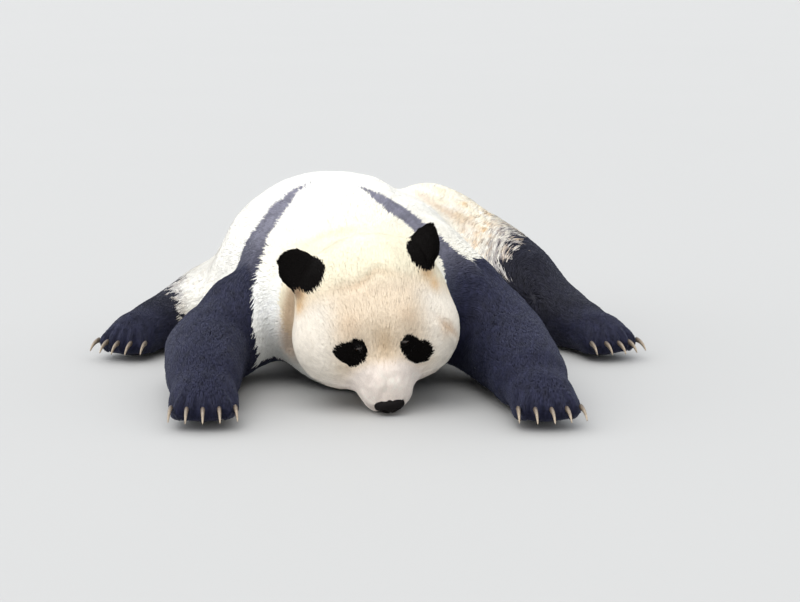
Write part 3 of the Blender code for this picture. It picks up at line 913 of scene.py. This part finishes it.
def scatter(corners, spacing, rng):
    """Picks roots evenly over triangles: the triangle of each and its three corner shares. The area, divided
    by the square of the wanted spacing, is summed along a winding order and cut into equal steps."""
    area = lengths(np.cross(corners[:, 1] - corners[:, 0], corners[:, 2] - corners[:, 0])) / 2
    order = winding_order(corners.mean(axis=1))
    total = np.cumsum((area / spacing**2)[order])
    count = int(total[-1])
    picks = (np.arange(count) + rng.uniform(0, 1, count)) * total[-1] / count
    chosen = order[np.minimum(np.searchsorted(total, picks), len(order) - 1)]
    first, second = rng.uniform(0, 1, (2, count))
    first = np.sqrt(first)
    return chosen, np.stack([1 - first, first * (1 - second), first * second], 1)


def clumped(roots, size, seed):
    """Middle of the clump that each root belongs to: the mean of the roots in one cell of a warped grid."""
    warp = np.stack([ripple(roots, 4 * size, seed + k) for k in range(3)], 1) * 0.35
    cells = np.floor(roots / size + warp).astype(np.int64)
    index = np.unique(cells, axis=0, return_inverse=True)[1].reshape(-1)
    count = np.bincount(index)
    return np.stack([np.bincount(index, roots[:, k]) / count for k in range(3)], 1)[index]


def tuft_points(roots, normals, lie, growth, rng, tree):
    """Four points for each tuft, a thin closed blade bent over the skin: its root under the skin, the two
    ends of the ridge across its middle, and its tip. The tip is held at the coat's depth over the skin below
    it, or goes part of the way to where a straight hair would end. Tips lean to the middle of their clump."""
    count = len(roots)
    depth, length, width, _, stand = growth.T
    sideways = np.cross(lie, normals)
    veer = rng.normal(0, VEER, count) + VEER * ripple(roots, 0.07, 51)
    size = (length * rng.uniform(*VARIED["length"], count))[:, None]
    reach = roots + unit(lie + veer[:, None] * sideways) * size
    reach = reach + CLUMPING * (clumped(roots, 0.30 * float(length.mean()), 31) - roots)
    landed = np.empty((count, 3))
    upward = np.empty((count, 3))
    for number, place in enumerate(reach.tolist()):
        landed[number], upward[number] = tree.find_nearest(place)[:2]
    height = depth[:, None]
    tips = landed + upward * height * rng.uniform(*VARIED["depth"], count)[:, None]
    free = stand[:, None] * rng.uniform(*VARIED["stand"], count)[:, None]
    tips = mixed(tips, reach + normals * height, np.minimum(free, 1))
    middles = mixed(roots, tips, RIDGE[0]) + normals * height * RIDGE[1]
    half_width = (width * rng.uniform(*VARIED["width"], count))[:, None] / 2
    across = unit(np.cross(tips - roots, normals)) * half_width
    return np.stack([roots - normals * ROOT_DEPTH, middles + across, middles - across, tips], axis=1)


def tuft_normals(blades, normals, rounding):
    """Normals for the four points of each tuft: the skin's own, turned out to each side at the ridge's ends,
    so that a tuft takes the light as a round strand of the coat below it."""
    out = normals[:, None] + np.zeros_like(blades)
    across = unit(blades[:, 1] - blades[:, 2])
    out[:, 1] += rounding * across
    out[:, 2] -= rounding * across
    out[:, 3] += 0.6 * rounding * unit(blades[:, 3] - blades[:, 0])
    return unit(out)


def half_of(limits, points):
    """Which points lie in the half of the animal that a coat piece takes."""
    axis, limit, beyond = limits
    places = to_head(points)[:, 2] if axis == "along" else (points - UNDER_NOSE)[:, 1]
    return (places > limit) == beyond


def unwrapped(points, faces):
    """A map of part of the skin: the place of each face's three corners in the unit square."""
    used, index = np.unique(faces, return_inverse=True)
    mesh = mesh_of("unwrap", points[used], index.reshape(-1, 3))
    sheet = new_object("unwrap", mesh, [])
    bpy.context.view_layer.objects.active = sheet
    sheet.select_set(True)
    mesh.uv_layers.new(name="unwrap")
    bpy.ops.object.mode_set(mode="EDIT")
    bpy.ops.mesh.select_all(action="SELECT")
    bpy.ops.uv.smart_project(angle_limit=math.radians(66), island_margin=0.002)
    bpy.ops.object.mode_set(mode="OBJECT")
    places = read(mesh.uv_layers["unwrap"].data, "uv", 2)
    bpy.data.objects.remove(sheet, do_unlink=True)
    return places.reshape(-1, 3, 2)


def build_coat(name, skin_arrays):
    """One piece of the coat, over the nodes that COATS names."""
    slot, dark, nodes, limits = COATS[name]
    points, normals, lie, fields, owners, triangles, tree = skin_arrays
    rng = np.random.default_rng(sorted(COATS).index(name) + 100)
    of_face = owners[triangles[:, 0]]
    middles = points[triangles].mean(axis=1)
    chosen = part_of(of_face, *nodes)
    if limits:
        chosen &= half_of(limits, middles) | part_of(of_face, "neck")
    marked = darkness(middles, of_face)
    chosen &= (marked > -OVERLAP) if dark else (marked < OVERLAP)
    chosen &= ~((middles[:, 2] < 0.02) & (normals[triangles[:, 0]][:, 2] < -0.8))   # nothing under the animal
    faces = triangles[chosen]
    corners = points[faces]
    face_owners = of_face[chosen]

    index, shares = scatter(corners, fields[faces][:, :, 3].mean(axis=1), rng)
    blend = shares[:, :, None]
    roots = (corners[index] * blend).sum(axis=1)
    growing = ((darkness(roots, face_owners[index]) > 0) == dark) & ~bare_skin(roots)
    index, blend, roots = index[growing], blend[growing], roots[growing]
    count = len(roots)
    root_normals = unit((normals[faces[index]] * blend).sum(axis=1))
    root_lie = unit((lie[faces[index]] * blend).sum(axis=1))
    growth = (fields[faces[index]] * blend).sum(axis=1)

    blades = tuft_points(roots, root_normals, root_lie, growth, rng, tree)
    flat = blades.reshape(-1, 3)
    flat[:, 2] = np.maximum(flat[:, 2], FLOOR_GAP)
    mesh = mesh_of(name, flat, (TUFT_FACES[None] + 4 * np.arange(count)[:, None, None]).reshape(-1, 3))
    turned = tuft_normals(blades, root_normals, ROUNDING[dark])
    mesh.normals_split_custom_set_from_vertices(turned.reshape(-1, 3))

    colours = pelt_colours(roots, face_owners[index], np.full(count, dark))
    colours = colours * rng.uniform(*TUFT_TONES[dark], count)[:, None]
    rgba = np.ones((count, 4, 4), np.float32)
    # painted shade along each tuft, darker toward its root and a little lighter at its tip
    rgba[:, :, :3] = np.clip(colours[:, None] * np.array(TUFT_PAINTED_SHADE[dark])[None, :, None], 0, 0.97)
    store(mesh, "pelt", "FLOAT_COLOR", rgba)

    places = (unwrapped(points, faces)[index] * blend).sum(axis=1)
    patch = (places[:, None] + TUFT_PATCH[None]).reshape(-1, 2)
    corner_index = read(mesh.loops, "vertex_index", 1, np.int32)[:, 0]
    layer = mesh.uv_layers.new(name="OFBake")
    layer.data.foreach_set("uv", np.clip(patch[corner_index], 0, 1).astype(np.float32).ravel())

    finish = "face_coat" if "ears" in name else slot.replace("fur", "coat")
    coat = new_object(name, mesh, [finish_of(finish)])
    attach(coat, "root")
    return coat


# ---------------- eyes, nose and claws

CLAW_CURL = math.radians(58)
CLAW_TIP = 0.0009       # radius at the tip, and how much thicker the root is
CLAW_SWELL = 0.0053


def grid_faces(rows, columns):
    """Quads of a grid of points that is joined round its columns."""
    row, column = np.meshgrid(np.arange(rows - 1), np.arange(columns), indexing="ij")
    after = (column + 1) % columns
    return np.stack([row * columns + column, row * columns + after,
                     (row + 1) * columns + after, (row + 1) * columns + column], -1).reshape(-1, 4)


def ball_grid(end, rows, columns):
    """A grid over a unit ball: the tilt of each row from the pole, and the points."""
    tilt = np.linspace(end, math.pi - end, rows)[:, None]
    turn = np.linspace(0, 2 * math.pi, columns, endpoint=False)[None]
    ball = [np.sin(tilt) * np.cos(turn), np.sin(tilt) * np.sin(turn), np.cos(tilt) + 0 * turn]
    return tilt, np.stack(ball, -1)


def capped(rings):
    """Points and triangles of a closed skin over rings of points, with a fan from each end's middle."""
    rows, columns, _ = rings.shape
    points = np.concatenate([rings.reshape(-1, 3), rings[:1].mean(axis=1), rings[-1:].mean(axis=1)])
    quads = grid_faces(rows, columns)
    here = np.arange(columns)
    after = (here + 1) % columns
    last = (rows - 1) * columns
    start = np.stack([np.full(columns, rows * columns), after, here], 1)
    end = np.stack([np.full(columns, rows * columns + 1), last + here, last + after], 1)
    return points, np.concatenate([quads[:, [0, 1, 2]], quads[:, [0, 2, 3]], start, end])


def facing_out(mesh):
    bm = bmesh.new()
    bm.from_mesh(mesh)
    bmesh.ops.recalc_face_normals(bm, faces=bm.faces)
    bm.to_mesh(mesh)
    bm.free()
    mesh.shade_smooth()
    return mesh


def eye_mesh(side):
    """A ball with a low clear bulge over the iris: its radius grows by a bell of the angle from the gaze. The
    angle itself is kept on the points for the material."""
    middle, axes = eye_frame(side)
    tilt, ball = ball_grid(0.02, 40, 48)
    points, faces = capped(middle + (EYE_RADIUS + 0.0006 * bell(tilt, 0.42))[..., None] * ball @ axes)
    mesh = facing_out(mesh_of("eye_" + side, points, faces))
    angles = np.append(np.broadcast_to(tilt, ball.shape[:2]).ravel(), (0, math.pi))
    store(mesh, "gaze_angle", "FLOAT", angles)
    return mesh


def nose_mesh():
    """A rounded pad: an egg whose front is flattened, with two comma-shaped nostrils sunk as bells that reach
    outward and down, a cleft below, and a soft rim round the nostrils."""
    ball = ball_grid(0.03, 72, 120)[1]
    place = ball * NOSE_SIZE * (1, 0.86, 1) - (0, 0.0022, 0)
    side, up, along = place[..., 0], place[..., 1], place[..., 2]
    away = np.abs(side)
    front = eased(along, 0.002, 0.010)
    nostril = bell(np.hypot((away - 0.0105) / 1.15, (up + 0.0005) * 1.1), 0.0042)
    comma = bell(np.hypot((away - 0.0165) / 1.6, (up + 0.0062) * 1.5), 0.0040)
    rim = bell(np.hypot(away - 0.0115, up + 0.001) - 0.0078, 0.0026)
    cleft = bell(side, 0.0013) * eased(-up, 0.001, 0.008)
    sink = front * (0.0085 * nostril + 0.0045 * comma + 0.0022 * cleft - 0.0008 * rim)
    place = place * (1 - 0.10 * front[..., None] * bell(up - 0.004, 0.012)[..., None] * (0, 0, 1))
    place[..., 2] -= sink
    points, faces = capped(from_head(NOSE_PLACE + place.reshape(-1, 3)).reshape(place.shape))
    return facing_out(mesh_of("nose_leather", points, faces))


def claw_points(node, paw):
    """Rings of one claw, carried along an arc that curls to the floor. Its root and heading are the solid's:
    the long way of its points as seen from above, away from the paw. A ring is an ellipse, narrower than it
    is high and pinched below, whose radius grows from the tip by a power of the share of length left."""
    solid = points_of(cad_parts[node].data)
    flat = solid[:, :2] - solid[:, :2].mean(axis=0)
    heading = np.append(np.linalg.eigh(flat.T @ flat)[1][:, -1], 0)
    heading *= np.sign(heading @ (solid.mean(axis=0) - box_centre(paw)))
    reach = solid @ heading
    root = solid[reach < reach.min() + 0.001].mean(axis=0)
    share = np.linspace(0, 1, 18)
    lean = CLAW_CURL * share
    radius = CLAW_TIP + CLAW_SWELL * (1 - share) ** 0.62
    bend = bpy.context.scene.panda_looks.claw_length / CLAW_CURL
    turn = np.linspace(0, 2 * math.pi, 16, endpoint=False)
    across = np.array((heading[1], -heading[0], 0))
    spine = root + np.outer(bend * np.sin(lean), heading) - np.outer(bend * (1 - np.cos(lean)), (0, 0, 1))
    above = np.outer(np.sin(lean), heading) + np.outer(np.cos(lean), (0, 0, 1))
    keel = 1 - 0.22 * (np.sin(turn) < 0) * np.abs(np.cos(turn))
    wide = (0.70 * radius[:, None] * np.cos(turn) * keel)[..., None] * across
    high = (radius[:, None] * np.sin(turn))[..., None] * above[:, None]
    return spine[:, None] + wide + high


def claws_mesh(paw):
    """Five claws of one paw, with the distance from the root kept on the points for the material."""
    parts, faces, shares, start = [], [], [], 0
    for node in claws_of(paw):
        rings = claw_points(node, paw)
        points, triangles = capped(rings)
        parts.append(points)
        faces.append(triangles + start)
        shares.append(np.append(np.repeat(np.linspace(0, 1, rings.shape[0]), rings.shape[1]), (0, 1)))
        start += len(points)
    mesh = facing_out(mesh_of("claws_" + paw, np.concatenate(parts), np.concatenate(faces)))
    store(mesh, "from_root", "FLOAT", np.concatenate(shares))
    return mesh


# ---------------- materials

def shader_of(name):
    """A new material, its nodes and links, and its Principled shader."""
    made = bpy.data.materials.new(name)
    made.use_nodes = True
    tree = made.node_tree
    return made, tree.nodes, tree.links, tree.nodes["Principled BSDF"]


def set_inputs(node, values):
    """Plain values, by the names of the node's inputs."""
    for name, value in values.items():
        node.inputs[name].default_value = value


# The mottle's sockets, its nodes, and its wires as node, output, node and input
MOTTLE_SOCKETS = (
    ("Colour", "INPUT", "Color"), ("Size", "INPUT", "Float"), ("Fine Size", "INPUT", "Float"),
    ("Amount", "INPUT", "Float"), ("Colour", "OUTPUT", "Color"), ("Height", "OUTPUT", "Float"),
)
MOTTLE_NODES = {
    "start": "NodeGroupInput", "place": "ShaderNodeTexCoord", "soft": "ShaderNodeTexNoise",
    "fine": "ShaderNodeTexNoise", "darker": "ShaderNodeMath", "lighter": "ShaderNodeMath",
    "range": "ShaderNodeMapRange", "scaled": "ShaderNodeVectorMath", "end": "NodeGroupOutput",
}
MOTTLE_WIRES = (
    ("place", "Object", "soft", "Vector"), ("start", "Size", "soft", "Scale"),
    ("place", "Object", "fine", "Vector"), ("start", "Fine Size", "fine", "Scale"),
    ("start", "Amount", "darker", 1), ("start", "Amount", "lighter", 1),
    ("soft", "Fac", "range", "Value"), ("darker", "Value", "range", "To Min"),
    ("lighter", "Value", "range", "To Max"), ("start", "Colour", "scaled", 0),
    ("range", "Result", "scaled", "Scale"), ("scaled", "Vector", "end", "Colour"),
    ("fine", "Fac", "end", "Height"),
)


def mottle_group():
    """Shared effect: a colour darkened and lightened by soft noise, and a height from finer noise."""
    if "Mottle" in bpy.data.node_groups:
        return bpy.data.node_groups["Mottle"]
    group = bpy.data.node_groups.new("Mottle", "ShaderNodeTree")
    for name, way, kind in MOTTLE_SOCKETS:
        group.interface.new_socket(name, in_out=way, socket_type="NodeSocket" + kind)
    node = {name: group.nodes.new(kind) for name, kind in MOTTLE_NODES.items()}
    node["darker"].operation, node["lighter"].operation = "SUBTRACT", "ADD"
    node["darker"].inputs[0].default_value = node["lighter"].inputs[0].default_value = 1.0
    node["scaled"].operation = "SCALE"
    set_inputs(node["range"], {"From Min": 0.3, "From Max": 0.7})
    for source, output, target, socket in MOTTLE_WIRES:
        group.links.new(node[source].outputs[output], node[target].inputs[socket])
    return group


def bumped(nodes, links, shader, height, strength, distance, invert=False):
    """Feeds the shader's Normal from a height."""
    bump = nodes.new("ShaderNodeBump")
    bump.invert = invert
    set_inputs(bump, {"Strength": strength, "Distance": distance})
    links.new(height, bump.inputs["Height"])
    links.new(bump.outputs["Normal"], shader.inputs["Normal"])


def mottled(nodes, links, shader, colour, size, fine_size, amount, strength, distance):
    """Feeds the shader's Base Color through the mottle, and its Normal from the mottle's fine height. The
    colour is an output of another node, or plain numbers."""
    effect = nodes.new("ShaderNodeGroup")
    effect.node_tree = mottle_group()
    set_inputs(effect, {"Size": size, "Fine Size": fine_size, "Amount": amount})
    if isinstance(colour, tuple):
        set_inputs(effect, {"Colour": colour})
    else:
        links.new(colour, effect.inputs["Colour"])
    links.new(effect.outputs["Colour"], shader.inputs["Base Color"])
    bumped(nodes, links, shader, effect.outputs["Height"], strength, distance)


# Colours by the angle from the gaze, over the black pupil, the brown iris, its dark rim and the white of the
# eye, which is darkened as painted shade within the lids, and by the share of a claw's length from its root
EYE_RINGS = (
    (0.0, (0.002, 0.002, 0.002)), (0.157, (0.002, 0.002, 0.002)), (0.204, (0.030, 0.013, 0.006)),
    (0.471, (0.040, 0.018, 0.008)), (0.534, (0.006, 0.003, 0.002)), (0.628, (0.035, 0.020, 0.015)),
)
HORN = ((0.0, (0.070, 0.050, 0.036)), (1.0, (0.42, 0.34, 0.25)))

# Finishes: what a piece's points keep, the ramp of colours that it is looked up on unless it is a colour, the
# mottle's size, fine size, amount, bump strength and bump distance, and the shader's own values
STRANDS = (900, 2500, 0.08, 0.12, 0.0004)
FINISHES = {
    "white_coat": ("pelt", None, STRANDS, {
        "Roughness": 0.85, "Specular IOR Level": 0.20, "Sheen Weight": 0.15,
        "Sheen Roughness": 0.45, "Sheen Tint": (1.0, 0.95, 0.85, 1)}),
    "black_coat": ("pelt", None, STRANDS, {
        "Roughness": 0.60, "Specular IOR Level": 0.18, "Sheen Weight": 0.10,
        "Sheen Roughness": 0.45, "Sheen Tint": (0.62, 0.70, 1.0, 1)}),
    "face_coat": ("pelt", None, STRANDS, {"Roughness": 0.70, "Specular IOR Level": 0.06}),
    "skin_under_coat": ("pelt", None, (350, 1400, 0.10, 0.5, 0.0008), {"Roughness": 0.8}),
    "wet_eye": ("gaze_angle", EYE_RINGS, (1500, 4000, 0.25, 0.05, 0.0001), {
        "Roughness": 0.08, "Coat Weight": 1.0, "Coat Roughness": 0.02}),
    "claw_keratin": ("from_root", HORN, (260, 1800, 0.25, 0.35, 0.0003), {"Roughness": 0.38}),
}


def finish_of(name):
    """A material whose colour is kept on the piece's points, or looked up on a ramp by a value kept there,
    and is mottled by the shared effect."""
    if name in bpy.data.materials:
        return bpy.data.materials[name]
    kept, stops, mottle, values = FINISHES[name]
    made, nodes, links, shader = shader_of(name)
    source = nodes.new("ShaderNodeAttribute")
    source.attribute_name = kept
    colour = source.outputs["Color"]
    if stops:
        ramp = nodes.new("ShaderNodeValToRGB")
        marks = ramp.color_ramp.elements
        marks[1].position = stops[-1][0]
        for place, _ in stops[1:-1]:
            marks.new(place)
        for mark, (_, tone) in zip(marks, stops):
            mark.color = (*tone, 1)
        links.new(source.outputs["Fac"], ramp.inputs["Fac"])
        colour = ramp.outputs["Color"]
    mottled(nodes, links, shader, colour, *mottle)
    set_inputs(shader, values)
    return made


def nose_material():
    """Moist black leather, pebbled by rounded cells that are paler in their middles."""
    made, nodes, links, shader = shader_of("moist_nose")
    place = nodes.new("ShaderNodeTexCoord")
    cells = nodes.new("ShaderNodeTexVoronoi")
    cells.inputs["Scale"].default_value = 700
    links.new(place.outputs["Object"], cells.inputs["Vector"])
    tone = nodes.new("ShaderNodeMix")
    tone.data_type = "RGBA"
    set_inputs(tone, {"A": (0.006, 0.004, 0.004, 1), "B": (0.002, 0.0015, 0.0015, 1)})
    links.new(cells.outputs["Distance"], tone.inputs["Factor"])
    links.new(tone.outputs["Result"], shader.inputs["Base Color"])
    bumped(nodes, links, shader, cells.outputs["Distance"], 0.5, 0.0005, invert=True)
    set_inputs(shader, {
        "Roughness": 0.45, "Specular IOR Level": 0.09, "Coat Weight": 0.03, "Coat Roughness": 0.30})
    return made


def floor_material(colour):
    made, nodes, links, shader = shader_of("studio_floor")
    mottled(nodes, links, shader, (*colour, 1.0), 0.5, 400.0, 0.004, 0.05, 0.0002)
    set_inputs(shader, {"Roughness": 0.7})
    return made


# ---------------- the stage

CAMERA_ELEVATION = math.radians(13)
CAMERA_DISTANCE = 3.8
CAMERA_LENS = 87.75             # millimetres, on a 36 mm wide sensor
CAMERA_LIFT = math.radians(3.14)        # how far above the chin the middle of the view lies
CAMERA_SWING = math.radians(0.264)      # and how far to the animal's left
CAMERA_AIM = (0.031, -0.106, 0.02)      # from the floor under the middle of the head

FLOOR_REACH = 150.0
SKY = (0.93, 0.96, 1.0, 1)
# Lamps: share of the key power, colour, heading, height and softness
LAMPS = {
    "key": (1.0, (1.0, 0.98, 0.95), -25, 68, 60),
    "right_fill": (1.0, (1.0, 1.0, 1.0), -100, 35, 100),
    "left_fill": (0.40, (1.0, 1.0, 1.0), 100, 35, 100),
    "front_fill": (0.52, (1.0, 0.98, 0.96), -28, 22, 90),
}


def add_camera():
    """Looks down at the chin from in front, and then is lifted and swung to the framing."""
    chin = HEAD_CENTRE * (1, 1, 0) + np.array(CAMERA_AIM)
    back = Vector((0, -math.cos(CAMERA_ELEVATION), math.sin(CAMERA_ELEVATION)))
    data = bpy.data.cameras.new("camera")
    data.lens = CAMERA_LENS
    data.sensor_width = 36.0
    camera = bpy.data.objects.new("camera", data)
    bpy.context.scene.collection.objects.link(camera)
    turn = (-back).to_track_quat("-Z", "Y").to_matrix()
    turn = turn @ Matrix.Rotation(-CAMERA_SWING, 3, "Y") @ Matrix.Rotation(CAMERA_LIFT, 3, "X")
    camera.matrix_world = Matrix.Translation(Vector(chin) + back * CAMERA_DISTANCE) @ turn.to_4x4()
    bpy.context.scene.camera = camera


def add_sun(name, power, colour, heading, height, softness):
    """A far soft light. Its heading is counted from the front toward the animal's left, in degrees."""
    data = bpy.data.lights.new(name, "SUN")
    data.energy = power
    data.angle = math.radians(softness)
    data.color = colour
    lamp = bpy.data.objects.new(name, data)
    turn, lift = math.radians(heading), math.radians(height)
    way = Vector((math.sin(turn) * math.cos(lift), -math.cos(turn) * math.cos(lift), math.sin(lift)))
    lamp.rotation_euler = (-way).to_track_quat("-Z", "Y").to_euler()
    bpy.context.scene.collection.objects.link(lamp)


def build_stage():
    studio = bpy.context.scene.panda_studio
    for thing in [thing for thing in bpy.data.objects if thing.type in ("CAMERA", "LIGHT")]:
        bpy.data.objects.remove(thing, do_unlink=True)
    corners = np.array(((-1, -1, 0), (1, -1, 0), (1, 1, 0), (-1, 1, 0))) * FLOOR_REACH
    finish = floor_material(tuple(studio.floor_colour))
    floor = new_object("floor", mesh_of("floor", corners, np.array([[0, 1, 2, 3]])), [finish])
    world = bpy.data.worlds.new("studio")
    world.use_nodes = True
    set_inputs(world.node_tree.nodes["Background"], {"Color": SKY, "Strength": studio.ambient})
    bpy.context.scene.world = world
    for name, (share, *settings) in LAMPS.items():
        add_sun(name, studio.key_power * share, *settings)
    bpy.context.scene.view_settings.view_transform = "Standard"
    add_camera()


# ---------------- the add-on

class PandaLooks(bpy.types.PropertyGroup):
    """Sizes and colours of the animal that a user would change."""

    trunk_white: bpy.props.FloatVectorProperty(
        name="White fur", description="Colour of the white fur over the trunk, before its stains",
        subtype="COLOR", default=WHITE["trunk"], min=0, max=1)
    limb_black: bpy.props.FloatVectorProperty(
        name="Black fur", description="Colour of the black fur on the shoulders and forelegs",
        subtype="COLOR", default=DARK["limb"], min=0, max=1)
    claw_length: bpy.props.FloatProperty(
        name="Claw length", description="Length of each claw along its curve",
        default=0.042, min=0.01, max=0.06, unit="LENGTH")


class PandaStudio(bpy.types.PropertyGroup):
    """Floor and lights that a user would change."""

    floor_colour: bpy.props.FloatVectorProperty(
        name="Floor colour", description="Colour of the studio floor",
        subtype="COLOR", default=(0.42, 0.42, 0.415), min=0, max=1)
    key_power: bpy.props.FloatProperty(
        name="Key power", description="Strength of the main light", default=1.4, min=0)
    ambient: bpy.props.FloatProperty(
        name="Ambient", description="Strength of the even light from all round", default=0.95, min=0)


class PANDA_OT_skin(bpy.types.Operator):
    """Lay one skin over the flesh"""

    bl_idname = "panda.skin"
    bl_label = "Skin"

    def execute(self, context):
        skin = build_skin()
        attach(skin, "root")
        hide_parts(*FLESH)
        return {"FINISHED"}


class PANDA_OT_coat(bpy.types.Operator):
    """Cover the skin with tufts of fur, piece by piece"""

    bl_idname = "panda.coat"
    bl_label = "Coat"

    def execute(self, context):
        mesh = bpy.data.objects["skin"].data
        points, triangles = points_of(mesh), triangles_of(mesh)
        fields = np.concatenate([stored(mesh, "fur_" + name) for name in FIELDS], 1)
        owners = stored(mesh, "part")[:, 0].astype(int)
        tree = BVHTree.FromPolygons(points.tolist(), triangles.tolist())
        arrays = (points, normals_of(mesh), stored(mesh, "lie", 3), fields, owners, triangles, tree)
        for name in COATS:
            build_coat(name, arrays)
        return {"FINISHED"}


class PANDA_OT_eyes(bpy.types.Operator):
    """Set the eyeballs behind the lids"""

    bl_idname = "panda.eyes"
    bl_label = "Eyes"

    def execute(self, context):
        for side in SIDES:
            eye = new_object("eyeball_" + side, eye_mesh(side), [finish_of("wet_eye")])
            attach(eye, "root")
            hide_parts("eye_" + side)
        return {"FINISHED"}


class PANDA_OT_nose(bpy.types.Operator):
    """Set the nose leather"""

    bl_idname = "panda.nose"
    bl_label = "Nose"

    def execute(self, context):
        nose = new_object("nose_leather", nose_mesh(), [nose_material()])
        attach(nose, "root")
        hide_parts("nose")
        return {"FINISHED"}


class PANDA_OT_claws(bpy.types.Operator):
    """Set five claws in each paw"""

    bl_idname = "panda.claws"
    bl_label = "Claws"

    def execute(self, context):
        for paw in PAWS:
            claws = new_object("claws_" + paw, claws_mesh(paw), [finish_of("claw_keratin")])
            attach(claws, "root")
            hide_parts(*claws_of(paw))
        return {"FINISHED"}


class PANDA_OT_stage(bpy.types.Operator):
    """Set the floor, lamps and camera"""

    bl_idname = "panda.stage"
    bl_label = "Stage"

    def execute(self, context):
        build_stage()
        return {"FINISHED"}


class PANDA_PT_sidebar(bpy.types.Panel):
    """The panda's operators and settings"""

    bl_idname = "PANDA_PT_sidebar"
    bl_label = "Sleeping Giant Panda"
    bl_space_type = "VIEW_3D"
    bl_region_type = "UI"
    bl_category = "Panda"

    def draw(self, context):
        for group in (context.scene.panda_looks, context.scene.panda_studio):
            for name in type(group).__annotations__:
                self.layout.prop(group, name)
        for step in STEPS:
            self.layout.operator(step.bl_idname)


STEPS = (PANDA_OT_stage, PANDA_OT_skin, PANDA_OT_coat, PANDA_OT_eyes, PANDA_OT_nose, PANDA_OT_claws)
CLASSES = (PandaLooks, PandaStudio, *STEPS, PANDA_PT_sidebar)


def register():
    for made in CLASSES:
        bpy.utils.register_class(made)
    bpy.types.Scene.panda_looks = bpy.props.PointerProperty(type=PandaLooks)
    bpy.types.Scene.panda_studio = bpy.props.PointerProperty(type=PandaStudio)


def unregister():
    del bpy.types.Scene.panda_looks, bpy.types.Scene.panda_studio
    for made in reversed(CLASSES):
        bpy.utils.unregister_class(made)


def main():
    register()
    bpy.ops.panda.stage()
    bpy.ops.panda.skin()
    bpy.ops.panda.coat()
    bpy.ops.panda.eyes()
    bpy.ops.panda.nose()
    bpy.ops.panda.claws()


if __name__ == "__main__":
    main()
